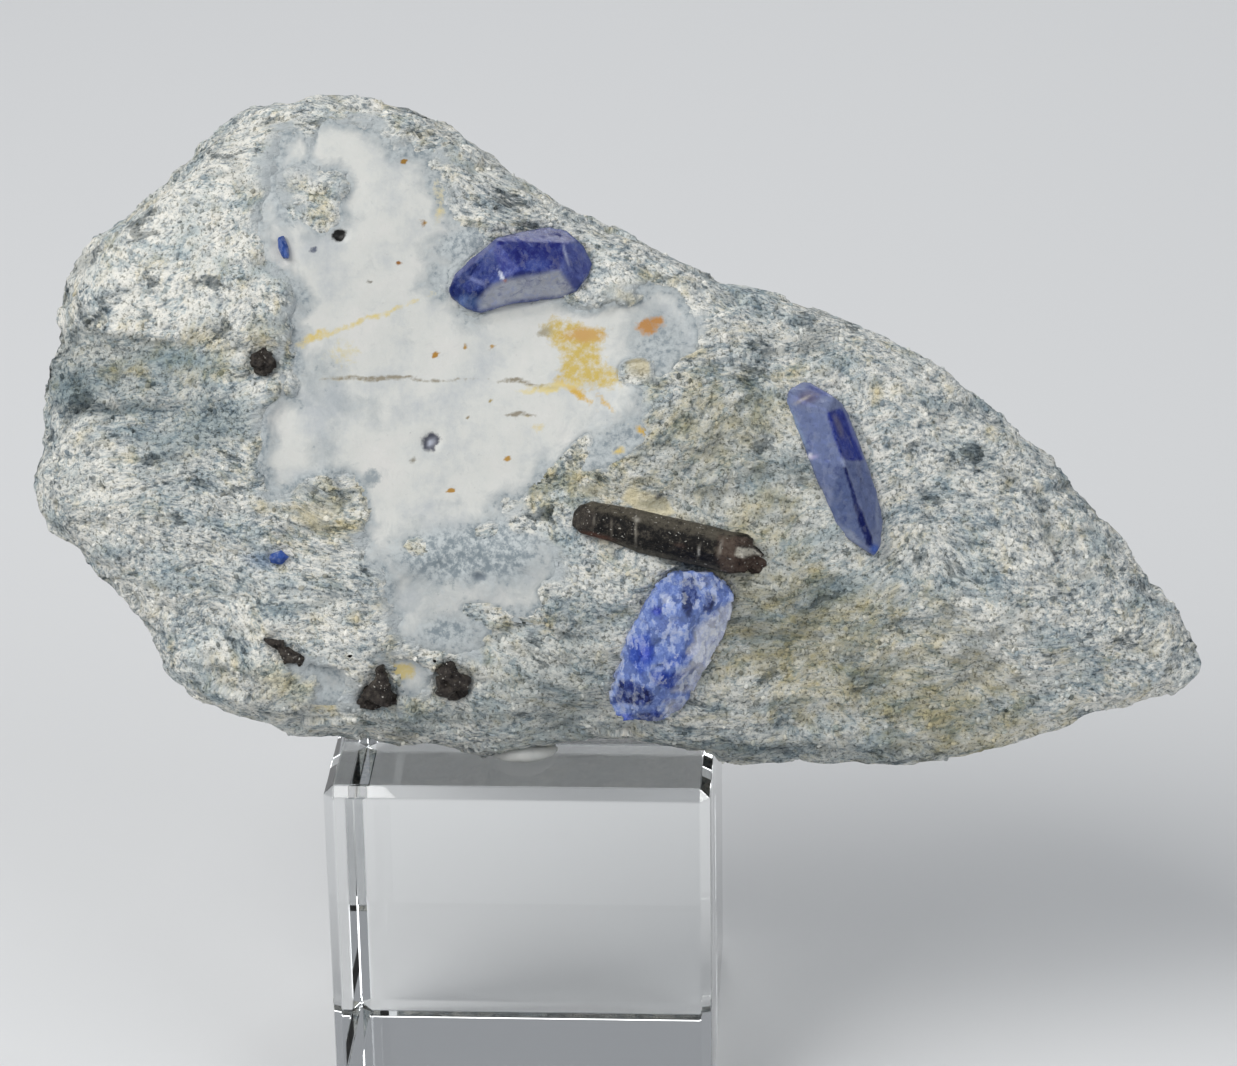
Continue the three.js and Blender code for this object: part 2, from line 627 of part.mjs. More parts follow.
// Room for the block, with an arched top, in the stone's own frame
function blockRoom(arch) {
  const wide = BLOCK_SIZE + 2 * GAP;
  const geometry = new THREE.BoxGeometry(wide, wide, BLOCK_SIZE, UNDERSIDE_STEPS, UNDERSIDE_STEPS, 1);
  const position = geometry.attributes.position;
  for (let index = 0; index < position.count; index++) {
    const x = position.getX(index);
    const y = position.getY(index);
    if (position.getZ(index) > 0) {
      const uneven = ARCH_LEAST + ARCH_VARIATION * noise(x / ARCH_SPACING + ARCH_SEED, y / ARCH_SPACING);
      const lift = arch * Math.max(0, 1 - standing(x, y)) * uneven;
      position.setZ(index, position.getZ(index) + BLOCK_SIZE / 2 + GAP + lift);
    } else {
      position.setZ(index, 0);
    }
  }
  geometry.applyMatrix4(stonePlace.matrixWorld.clone().invert());
  return toSolid(geometry);
}

// Assembly
const object = new THREE.Group();
object.add(stonePlace);

function addPiece(parent, name, solid, finish) {
  const geometry = solid.isBufferGeometry ? solid : toGeometry(solid);
  const mesh = new THREE.Mesh(geometry, new THREE.MeshStandardMaterial({ ...finish, metalness: 0 }));
  mesh.name = name;
  parent.add(mesh);
}

let matrix = toSolid(sheetSolid(edgePoints, STONE_MIDDLE, roughFace, backHeight));
matrix = matrix.subtract(blockRoom(UNDERSIDE_ARCH));

const sockets = Object.values(CRYSTALS).map(socket);
const pockets = {
  natrolite_vein: [VEIN_EDGE, SCHIST_ISLAND],
  natrolite_lower: [LOWER_PATCH],
  natrolite_pocket_left: [LEFT_POCKET],
  natrolite_pocket_right: [RIGHT_POCKET],
};
for (const pocket of Object.values(pockets)) {
  matrix = matrix.subtract(natrolitePocket(...pocket));
}
for (const hole of sockets) {
  matrix = matrix.subtract(hole);
}
matrix = matrix.subtract(lens(FOOT_LENS, GAP));
addPiece(stonePlace, 'matrix_rock', matrix, SCHIST);

for (const [name, pocket] of Object.entries(pockets)) {
  let solid = natrolite(...pocket);
  for (const hole of sockets) {
    solid = solid.subtract(hole);
  }
  addPiece(stonePlace, name, solid, NATROLITE);
}
addPiece(stonePlace, 'natrolite_foot', lens(FOOT_LENS, 0).subtract(blockRoom(0)), NATROLITE);

for (const [name, spec] of Object.entries(CRYSTALS)) {
  addPiece(stonePlace, name, crystal(spec), { color: spec.colour, roughness: CRYSTAL_ROUGHNESS });
}

function chamferedBlock(size, chamfer) {
  const half = size / 2;
  const inner = half - chamfer;
  const corners = [];
  for (const sx of [-1, 1]) {
    for (const sy of [-1, 1]) {
      for (const sz of [-1, 1]) {
        corners.push(new THREE.Vector3(sx * half, sy * inner, sz * inner));
        corners.push(new THREE.Vector3(sx * inner, sy * half, sz * inner));
        corners.push(new THREE.Vector3(sx * inner, sy * inner, sz * half));
      }
    }
  }
  return new ConvexGeometry(corners);
}

const block = chamferedBlock(BLOCK_SIZE, BLOCK_CHAMFER);
block.translate(0, 0, BLOCK_SIZE / 2);
addPiece(object, 'acrylic_block', block, ACRYLIC);

export default object;
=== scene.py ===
"""Benitoite and neptunite in natrolite on schist, on a clear block: the finish of every surface.

Sizes named _MM are millimetres, and so are places and distances on the stone's face. Sizes
multiplied by MM, and everything that Blender receives, are metres.
"""

import itertools
import math

import bmesh
import bpy
import numpy as np
from mathutils import Matrix, Vector
from mathutils.bvhtree import BVHTree


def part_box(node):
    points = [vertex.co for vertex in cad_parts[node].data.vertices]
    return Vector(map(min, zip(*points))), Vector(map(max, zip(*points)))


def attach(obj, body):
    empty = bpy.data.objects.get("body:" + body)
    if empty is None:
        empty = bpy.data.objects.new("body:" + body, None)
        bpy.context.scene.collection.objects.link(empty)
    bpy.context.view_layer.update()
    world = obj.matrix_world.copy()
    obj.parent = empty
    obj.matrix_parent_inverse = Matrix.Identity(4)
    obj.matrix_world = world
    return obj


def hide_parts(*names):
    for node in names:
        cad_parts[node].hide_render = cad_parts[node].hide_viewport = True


bl_info = {
    "name": "Benitoite specimen",
    "version": (1, 0, 0),
    "blender": (4, 5, 0),
    "location": "3D View > Sidebar > Specimen",
    "description": "Schist matrix with natrolite, benitoite and neptunite on a clear block",
    "category": "Object",
}

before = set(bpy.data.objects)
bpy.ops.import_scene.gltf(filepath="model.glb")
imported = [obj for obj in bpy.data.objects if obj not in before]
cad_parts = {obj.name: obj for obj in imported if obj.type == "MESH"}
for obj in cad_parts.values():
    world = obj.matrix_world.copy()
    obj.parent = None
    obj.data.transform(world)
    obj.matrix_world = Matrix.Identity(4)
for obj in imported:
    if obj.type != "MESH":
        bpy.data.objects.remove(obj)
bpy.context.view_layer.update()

MM = 0.001
BODY = "root"

# Where the stone's own frame stands: x across its face, y away from the viewer, z up its face
BLOCK_LOW, BLOCK_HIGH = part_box("acrylic_block")
FOOT_MM = (-2.0, -12.4, BLOCK_HIGH.z / MM)
FACE_YAW = 3.4
FACE_LEAN = -23.6
FACE_ROLL = 0.9

# Camera, from the block's corners in the photograph, and its focal length on the sensor's width
CAMERA_MM = (32.07, -386.45, 226.36)
CAMERA_YAW = 3.36
CAMERA_PITCH = 23.57
CAMERA_ROLL = -0.88
LENS_MM = 122.8
SENSOR_MM = 36
NEAREST_VIEW_MM = 10

# Natrolite that shows on the stone's face. The foot under the stone is made apart from it.
POCKET_NODES = [
    "natrolite_vein", "natrolite_lower", "natrolite_pocket_left", "natrolite_pocket_right",
]
BENITOITE_NODES = [
    "benitoite_upper", "benitoite_right", "benitoite_lower",
    "benitoite_speck_upper", "benitoite_speck_lower",
]
NEPTUNITE_NODES = [
    "neptunite_prism", "neptunite_grain", "neptunite_vein", "neptunite_fork", "neptunite_cluster",
]
LARGE_CRYSTALS = BENITOITE_NODES[:3] + NEPTUNITE_NODES[:1]


def turn(axis, degrees):
    return Matrix.Rotation(math.radians(degrees), 4, axis)


STONE = (Matrix.Translation(Vector(FOOT_MM) * MM)
         @ turn("Z", FACE_YAW) @ turn("X", FACE_LEAN) @ turn("Y", FACE_ROLL))
FACE_OUT = STONE.to_3x3() @ Vector((0, -1, 0))


def linear(hex_colour):
    """Linear red, green and blue of an sRGB hex colour."""
    channels = [int(hex_colour[i:i + 2], 16) / 255 for i in (1, 3, 5)]
    return tuple(c / 12.92 if c <= 0.04045 else ((c + 0.055) / 1.055) ** 2.4 for c in channels)


def rgba(hex_colour):
    return (*linear(hex_colour), 1.0)


# Settings that a user would change


class SchistSettings(bpy.types.PropertyGroup):
    """Sizes and colours of the schist matrix."""

    voxel: bpy.props.FloatProperty(
        name="Mesh step", description="Spacing of the fine mesh", default=0.73 * MM, unit="LENGTH")
    lump: bpy.props.FloatProperty(
        name="Lump relief", description="Height of the broken lumps", default=0.5 * MM,
        unit="LENGTH")
    grain: bpy.props.FloatProperty(
        name="Grain relief", description="Height of the mineral grains", default=0.2 * MM,
        unit="LENGTH")
    pale: bpy.props.FloatVectorProperty(
        name="Pale grains", description="Albite and natrolite grains", subtype="COLOR",
        default=linear("#eae8e0"))
    dark: bpy.props.FloatVectorProperty(
        name="Slate fibres", description="Dark amphibole fibres", subtype="COLOR",
        default=linear("#6f797e"))


class NatroliteSettings(bpy.types.PropertyGroup):
    """Sizes and colours of the natrolite."""

    voxel: bpy.props.FloatProperty(
        name="Mesh step", description="Spacing of the fine mesh", default=0.35 * MM, unit="LENGTH")
    white: bpy.props.FloatVectorProperty(
        name="White", description="Massive natrolite", subtype="COLOR",
        default=linear("#c9cac6"))


class CrystalSettings(bpy.types.PropertyGroup):
    """Sizes and colours of the crystals."""

    voxel: bpy.props.FloatProperty(
        name="Mesh step", description="Spacing of the fine mesh", default=0.21 * MM, unit="LENGTH")
    blue: bpy.props.FloatVectorProperty(
        name="Benitoite", description="Colour seen through deep benitoite", subtype="COLOR",
        default=linear("#3d4fb4"))


class GrainSettings(bpy.types.PropertyGroup):
    """Sizes of the loose mineral grains on the schist."""

    size: bpy.props.FloatProperty(
        name="Grain size", description="Mean radius of a grain", default=0.34 * MM, unit="LENGTH")
    spacing: bpy.props.FloatProperty(
        name="Spacing", description="Mean distance between grains", default=1.55 * MM,
        unit="LENGTH")
    seed: bpy.props.IntProperty(name="Seed", description="Choice of their places", default=4)


class BlockSettings(bpy.types.PropertyGroup):
    """Sizes of the clear block."""

    chamfer: bpy.props.FloatProperty(
        name="Chamfer", description="Width of the block's edge bevels", default=1.0 * MM,
        unit="LENGTH")
    edge: bpy.props.FloatProperty(
        name="Edge softening", description="Rounding beside the bevels", default=0.12 * MM,
        unit="LENGTH")


class StageSettings(bpy.types.PropertyGroup):
    """Floor and light."""

    floor: bpy.props.FloatVectorProperty(
        name="Floor", description="Colour of the plain floor", subtype="COLOR",
        default=linear("#d4d5d6"))
    key: bpy.props.FloatProperty(
        name="Key light", description="Power of the large soft light", default=6.0, unit="POWER")


# Numbers on whole arrays of points


def lattice(cells, seed):
    """Fixed random value from 0 to 1 for each whole-number cell. Large numbers scatter the bits."""
    mix = cells[:, 0] * 73856093 ^ cells[:, 1] * 19349663 ^ cells[:, 2] * 83492791 ^ seed * 2654435
    mix = ((mix ^ (mix >> 13)) * 1274126177) & 0x7FFFFFFF
    return ((mix ^ (mix >> 15)) % 65536) / 65535.0


def smooth_noise(points, size, seed):
    """Smooth noise from -1 to 1 with lumps of about the given size."""
    scaled = points / size
    cell = np.floor(scaled).astype(np.int64)
    part = scaled - cell
    ease = part * part * (3 - 2 * part)
    total = np.zeros(len(points))
    for corner in itertools.product((0, 1), repeat=3):
        weight = np.prod(np.where(corner, ease, 1 - ease), axis=1)
        total += weight * lattice(cell + np.array(corner), seed)
    return 2 * total - 1


def fractal(points, size, seed, octaves=3, gain=0.55):
    """Sum of noise at halving sizes. Each use has a seed of its own, so none repeats another."""
    total = np.zeros(len(points))
    reach = 0.0
    for octave in range(octaves):
        share = gain ** octave
        total += share * smooth_noise(points, size / 2 ** octave, seed + 31 * octave)
        reach += share
    return total / reach


def spot_share(x, z, spot):
    """Soft flat-topped spot on the stone's face, 1 at its middle, from arrays of x and z."""
    middle_x, middle_z, wide, tall, angle = spot[:5]
    c, s = math.cos(math.radians(angle)), math.sin(math.radians(angle))
    dx = x - middle_x
    dz = z - middle_z
    reach = ((c * dx + s * dz) / wide) ** 2 + ((c * dz - s * dx) / tall) ** 2
    return np.exp(-np.minimum(reach, 30) ** 1.6)


def zone_share(x, z, corners, soft):
    """Many-sided zone on the stone's face, 1 inside it, from arrays of x and z."""
    inside = np.zeros(len(x), bool)
    nearest = np.full(len(x), FAR_OFF)
    for (ax, az), (bx, bz) in zip(corners, corners[1:] + corners[:1]):
        dx = bx - ax
        dz = bz - az
        crossed = (az > z) != (bz > z)
        inside ^= crossed & (x < ax + (z - az) * dx / (dz or 1e-9))
        along = np.clip(((x - ax) * dx + (z - az) * dz) / (dx * dx + dz * dz), 0, 1)
        nearest = np.minimum(nearest, np.hypot(x - ax - along * dx, z - az - along * dz))
    return ramp_up(np.where(inside, nearest, -nearest), -soft, soft)


def chips(points, size, seed):
    """Height of broken chips of about the given size, each flat and tilted its own way."""
    scaled = points / size
    cell = np.floor(scaled).astype(np.int64)
    nearest = np.full(len(points), np.inf)
    height = np.zeros(len(points))
    for corner in itertools.product((-1, 0, 1), repeat=3):
        other = cell + np.array(corner)
        middle = other + np.stack([lattice(other, seed + axis) for axis in range(3)], axis=1)
        tilt = 2 * np.stack([lattice(other, seed + 7 + axis) for axis in range(3)], axis=1) - 1
        apart = scaled - middle
        far = np.sum(apart ** 2, axis=1)
        height = np.where(far < nearest, np.sum(apart * tilt, axis=1), height)
        nearest = np.minimum(far, nearest)
    return height


def spots(points, table):
    """Sum of the amounts of a table's soft spots at each point."""
    total = np.zeros(len(points))
    for spot in table:
        total += spot[5] * spot_share(points[:, 0], points[:, 2], spot)
    return total


def ramp_up(values, low, high):
    """Smooth rise from 0 at the low value to 1 at the high one."""
    part = np.clip((values - low) / (high - low), 0, 1)
    return part * part * (3 - 2 * part)


# Meshes


def link(name, mesh):
    piece = bpy.data.objects.new(name, mesh)
    bpy.context.scene.collection.objects.link(piece)
    return piece


def welded_copy(node, name):
    """A piece with a CAD node's shape and its doubled points merged."""
    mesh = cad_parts[node].data.copy()
    mesh.materials.clear()
    form = bmesh.new()
    form.from_mesh(mesh)
    bmesh.ops.remove_doubles(form, verts=form.verts, dist=1e-6)
    form.to_mesh(mesh)
    form.free()
    for layer in list(mesh.uv_layers):
        mesh.uv_layers.remove(layer)
    return link(name, mesh)


def bake_modifiers(piece):
    """Puts a piece's evaluated mesh in place of its mesh and modifiers."""
    graph = bpy.context.evaluated_depsgraph_get()
    graph.update()
    mesh = bpy.data.meshes.new_from_object(piece.evaluated_get(graph))
    piece.modifiers.clear()
    old = piece.data
    piece.data = mesh
    bpy.data.meshes.remove(old)
    return piece


def remeshed(piece, voxel, rounds):
    """Gives a piece a fine even mesh, its facets smoothed away."""
    remesh = piece.modifiers.new("Voxels", "REMESH")
    remesh.mode = "VOXEL"
    remesh.voxel_size = voxel
    remesh.use_smooth_shade = True
    smooth = piece.modifiers.new("Smooth", "SMOOTH")
    smooth.factor = 0.5
    smooth.iterations = rounds
    return bake_modifiers(piece)


def grow(mesh, amount):
    """Moves a surface outwards by an even amount."""
    set_positions(mesh, positions(mesh) + normals(mesh) * amount)


def positions(mesh):
    flat = np.empty(len(mesh.vertices) * 3)
    mesh.vertices.foreach_get("co", flat)
    return flat.reshape(-1, 3)


def normals(mesh):
    flat = np.empty(len(mesh.vertices) * 3)
    mesh.vertex_normals.foreach_get("vector", flat)
    return flat.reshape(-1, 3)


def set_positions(mesh, points):
    mesh.vertices.foreach_set("co", points.ravel())
    mesh.update()


def to_stone(points):
    """Row-frame metres to millimetres on the stone's face."""
    inverse = np.array(STONE.inverted())
    return (points @ inverse[:3, :3].T + inverse[:3, 3]) / MM


def from_stone(local):
    """Millimetres on the stone's face to row-frame metres."""
    matrix = np.array(STONE)
    return local * MM @ matrix[:3, :3].T + matrix[:3, 3]


def set_number(mesh, name, values):
    """Writes one number for each point to an attribute that materials read."""
    layer = mesh.attributes.new(name, "FLOAT", "POINT")
    layer.data.foreach_set("value", values.astype(np.float32))


def paint(mesh, local, table, wander=0.5, start=None, name="paint"):
    """Writes a colour and its cover to an attribute, from spots and zones laid one over another."""
    x = local[:, 0] + wander * fractal(local, 1.8, 201, 3, 0.65)
    z = local[:, 2] + wander * fractal(local, 1.8, 211, 3, 0.65)
    colour = np.tile(linear(start or "#808080"), (len(local), 1))
    cover = np.full(len(local), 1.0 if start else 0.0)
    for entry in table:
        if isinstance(entry[0], str):
            hue, amount, soft, corners = entry
            share = amount * zone_share(x, z, corners, soft)
        else:
            hue, amount = entry[5:]
            share = amount * spot_share(x, z, entry)
        total = cover + share * (1 - cover)
        weight = (share / np.maximum(total, 1e-6))[:, None]
        colour = colour * (1 - weight) + np.array(linear(hue)) * weight
        cover = total
    layer = mesh.attributes.new(name, "FLOAT_COLOR", "POINT")
    layer.data.foreach_set("color", np.column_stack([colour, cover]).astype(np.float32).ravel())


def set_stone_places(mesh):
    """Writes each point's place on the stone's face, in millimetres, for the patterns to follow."""
    layer = mesh.attributes.new("stone", "FLOAT_VECTOR", "POINT")
    layer.data.foreach_set("vector", to_stone(positions(mesh)).astype(np.float32).ravel())


def inside_box(points, node):
    """Points held inside a CAD node's box."""
    low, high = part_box(node)
    return np.clip(points, np.array(low), np.array(high))


def above_block(points):
    """Points held just above the clear block where they lie over it or close beside it."""
    low = np.array(BLOCK_LOW) - BLOCK_MARGIN
    high = np.array(BLOCK_HIGH) + BLOCK_MARGIN
    over = np.all((points[:, :2] > low[:2]) & (points[:, :2] < high[:2]), axis=1)
    points[over, 2] = np.maximum(points[over, 2], BLOCK_HIGH.z + BLOCK_GAP)
    return points


def distance_mm(points, node):
    """Millimetres from each point to the nearest place on a CAD node's surface."""
    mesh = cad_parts[node].data
    tree = BVHTree.FromPolygons([v.co for v in mesh.vertices], [[*p.vertices] for p in mesh.polygons])
    return np.array([tree.find_nearest(point)[3] for point in points]) / MM


# Materials


def add(tree, kind, links=None, stops=None, **settings):
    """Adds one node. Its sockets take a value or another node's output, and stops are a ramp's
    colours. A socket's number stands for its name: 1, 2 and 4 of Map Range are the two ends of
    the range and its top, and 6 and 7 of Mix are the colours below and above.
    """
    node = tree.nodes.new(kind)
    for name, value in settings.items():
        setattr(node, name, value)
    for key, value in (links or {}).items():
        if isinstance(value, bpy.types.NodeSocket):
            tree.links.new(value, node.inputs[key])
        else:
            node.inputs[key].default_value = value
    if stops:
        elements = node.color_ramp.elements
        while len(elements) < len(stops):
            elements.new(0.5)
        for element, (place, colour) in zip(elements, stops):
            element.position = place
            element.color = colour
    return node


def new_material(name):
    """An empty material, and its tree."""
    material = bpy.data.materials.new(name)
    material.use_nodes = True
    material.node_tree.nodes.clear()
    return material, material.node_tree


def finish_material(tree, surface, volume=None):
    """Links a shader, and a volume where there is one, to the material's output."""
    links = {"Surface": surface}
    if volume:
        links["Volume"] = volume
    add(tree, "ShaderNodeOutputMaterial", links)


def wispy(tree, mask, wisps, low, high, gain=0.9):
    """A mask with its edge frayed by noise. With a gain below 0 the noise cuts it the other way."""
    frayed = add(tree, "ShaderNodeMath", {0: wisps, 1: gain, 2: mask}, operation="MULTIPLY_ADD")
    span = add(tree, "ShaderNodeMapRange", {"Value": frayed.outputs[0], 1: low + gain / 2,
                                            2: high + gain / 2})
    return span.outputs[0]


def blended(tree, below, layers):
    """Lays colours over a colour, each through its mask."""
    for mask, colour, blend in layers:
        colour = rgba(colour) if isinstance(colour, str) else colour
        layer = add(tree, "ShaderNodeMix", {"Factor": mask, 6: below, 7: colour},
                    data_type="RGBA", blend_type=blend)
        below = layer.outputs[2]
    return below


def schist_material(schist):
    """Broken blueschist: matt, pale albite grains and slate fibres in folds, threads of blue, painted
    shade in its hollows.
    """
    material, tree = new_material("blueschist_broken")
    read = {name: add(tree, "ShaderNodeAttribute", attribute_name=name) for name in (
        "stone", "tint", "paint", "pale", "dull", "cream", "slate", "cavity_shade", "film")}
    masks = {name: node.outputs["Fac"] for name, node in read.items()}
    place = read["stone"].outputs["Vector"]
    # Foliation that swirls in folds about 25 mm across
    fold = add(tree, "ShaderNodeTexNoise", {"Vector": place, "Scale": 1 / 25, "Detail": 2.5})
    centred = add(tree, "ShaderNodeVectorMath", {0: fold.outputs["Color"], 1: (0.5, 0.5, 0.5)},
                  operation="SUBTRACT")
    swirled = add(tree, "ShaderNodeVectorMath",
                  {0: centred.outputs[0], 1: (14, 14, 14), 2: place}, operation="MULTIPLY_ADD")
    fibres = add(tree, "ShaderNodeMapping",
                 {"Vector": swirled.outputs[0], "Rotation": (0, math.radians(10), 0),
                  "Scale": (0.62, 1.0, 1.25)}).outputs[0]
    noise = {}
    for name, vector, scale, detail, roughness in (
            # Grains and short fibres 0.5 mm across, in tufts of 3 mm that are lighter or darker
            ("grain", fibres, 1.9, 4.0, 0.72), ("tuft", fibres, 0.3, 5.0, 0.62),
            # Washes of steel-blue about 4 mm wide, and shapes about 6 mm wide with threads of it
            ("wash", fibres, 0.26, 6.0, 0.68), ("contour", fibres, 0.17, 5.0, 0.6),
            # Ochre bloom in blots about 2 mm wide, and dark flecks 0.3 mm across
            ("bloom", swirled.outputs[0], 0.42, 7.0, 0.72), ("fleck", place, 2.9, 2.0, 0.7)):
        node = add(tree, "ShaderNodeTexNoise", {"Vector": vector, "Scale": scale,
                                                "Detail": detail, "Roughness": roughness})
        noise[name] = node.outputs["Fac"]
    tufted = add(tree, "ShaderNodeMath", {0: noise["tuft"], 1: 0.36, 2: noise["grain"]},
                 operation="MULTIPLY_ADD")
    # Angular grains, 0.6 mm, each a little lighter or darker than the next
    cell = add(tree, "ShaderNodeTexVoronoi", {"Vector": fibres, "Scale": 1.7})
    celled = add(tree, "ShaderNodeMath", {0: cell.outputs["Color"], 1: 0.12,
                                          2: tufted.outputs[0]}, operation="MULTIPLY_ADD")
    lifted = add(tree, "ShaderNodeMath", {0: masks["pale"], 1: 0.06, 2: celled.outputs[0]},
                 operation="MULTIPLY_ADD")
    tone = add(tree, "ShaderNodeValToRGB", {"Fac": lifted.outputs[0]},
               stops=[(0.55, (*schist.dark, 1)), (0.64, rgba("#9fa5a7")), (0.72, rgba("#c3c6c4")),
                      (0.78, rgba("#dbdbd5")), (0.87, (*schist.pale, 1))])
    aside = add(tree, "ShaderNodeMath", {0: noise["contour"], 1: 0.5}, operation="SUBTRACT")
    away = add(tree, "ShaderNodeMath", {0: aside.outputs[0]}, operation="ABSOLUTE")
    spans = {}
    for name, value, low, high, top in (
            ("washes", noise["wash"], 0.49, 0.63, 0.6),
            ("threads", away.outputs[0], 0.020, 0.003, 0.5),
            ("cracks", noise["tuft"], 0.388, 0.366, 0.7),
            ("flecks", noise["fleck"], 0.47, 0.34, 1.0)):
        node = add(tree, "ShaderNodeMapRange", {"Value": value, 1: low, 2: high, 4: top})
        spans[name] = node.outputs[0]
    tinted = read["tint"]
    painted = read["paint"]
    wisps = noise["wash"]
    colour = blended(tree, tone.outputs["Color"], [
        (masks["dull"], "#bfc0b8", "MIX"),
        (spans["washes"], "#a9bfcd", "MULTIPLY"),
        (spans["threads"], "#8fabbd", "MULTIPLY"),
        (wispy(tree, masks["cream"], noise["bloom"], 0.25, 1.1, 3.4), "#e2d6b2", "MULTIPLY"),
        (spans["cracks"], "#8a9092", "MULTIPLY"),
        (spans["flecks"], "#a9aaa6", "MULTIPLY"),
        (tinted.outputs["Alpha"], tinted.outputs["Color"], "MULTIPLY"),
        (wispy(tree, painted.outputs["Alpha"], wisps, 0.2, 1.2), painted.outputs["Color"], "MIX"),
        (masks["slate"], "#a2adb2", "MULTIPLY"),
        # Painted shade in the hollows of the relief
        (masks["cavity_shade"], "#868e91", "MULTIPLY"),
        (wispy(tree, masks["film"], wisps, 0.25, 1.0, 1.6), "#b2b8ba", "MIX"),
    ])
    relief = add(tree, "ShaderNodeMath", {0: noise["fleck"], 1: 0.5, 2: noise["grain"]},
                 operation="MULTIPLY_ADD")
    bump = add(tree, "ShaderNodeBump", {"Height": relief.outputs[0], "Strength": 1.0,
                                        "Distance": 0.3 * MM})
    shader = add(tree, "ShaderNodeBsdfPrincipled",
                 {"Base Color": colour, "Roughness": 0.85, "Specular IOR Level": 0.3,
                  "Normal": bump.outputs[0]})
    finish_material(tree, shader.outputs[0])
    return material


def natrolite_material(natrolite):
    """Massive natrolite: waxy and faintly translucent, grey where thin, stained by iron."""
    material, tree = new_material("natrolite_massive")
    place = add(tree, "ShaderNodeAttribute", attribute_name="stone").outputs["Vector"]
    noise = {}
    for name, scale, detail, roughness, distortion in (
            # Clouds 8 mm wide, wisps of 2 mm and a mottle of 0.7 mm
            ("cloud", 0.13, 7.0, 0.68, 0.0), ("wisp", 0.5, 6.0, 0.7, 0.6),
            ("mottle", 1.5, 5.0, 0.7, 0.0)):
        node = add(tree, "ShaderNodeTexNoise", {"Vector": place, "Scale": scale, "Detail": detail,
                                                "Roughness": roughness, "Distortion": distortion})
        noise[name] = node.outputs["Fac"]
    milky = add(tree, "ShaderNodeValToRGB", {"Fac": noise["cloud"]},
                stops=[(0.34, rgba("#b3b7b9")), (0.5, (*natrolite.white, 1)),
                       (0.66, rgba("#cfceca"))])
    thin = add(tree, "ShaderNodeAttribute", attribute_name="thin").outputs["Fac"]
    spotted = add(tree, "ShaderNodeAttribute", attribute_name="paint")
    colour = blended(tree, milky.outputs["Color"], [
        (wispy(tree, thin, noise["wisp"], 0.1, 0.9, 1.3), "#939b9f", "MIX"),
        (wispy(tree, thin, noise["mottle"], 0.55, 1.3, 3.0), "#b9bfc0", "MIX"),
        (wispy(tree, thin, noise["mottle"], 0.75, 1.25, -3.0), "#7d888e", "MIX"),
        (wispy(tree, spotted.outputs["Alpha"], noise["mottle"], 0.25, 0.75, 1.6),
         spotted.outputs["Color"], "MIX"),
    ])
    bump = add(tree, "ShaderNodeBump", {"Height": noise["mottle"], "Strength": 0.5,
                                        "Distance": 0.12 * MM})
    shader = add(tree, "ShaderNodeBsdfPrincipled",
                 {"Base Color": colour, "Roughness": 0.5, "Specular IOR Level": 0.4,
                  "Subsurface Weight": 0.2, "Subsurface Radius": (1.0, 0.95, 0.9),
                  "Subsurface Scale": 0.8 * MM, "Normal": bump.outputs[0]})
    finish_material(tree, shader.outputs[0])
    return material


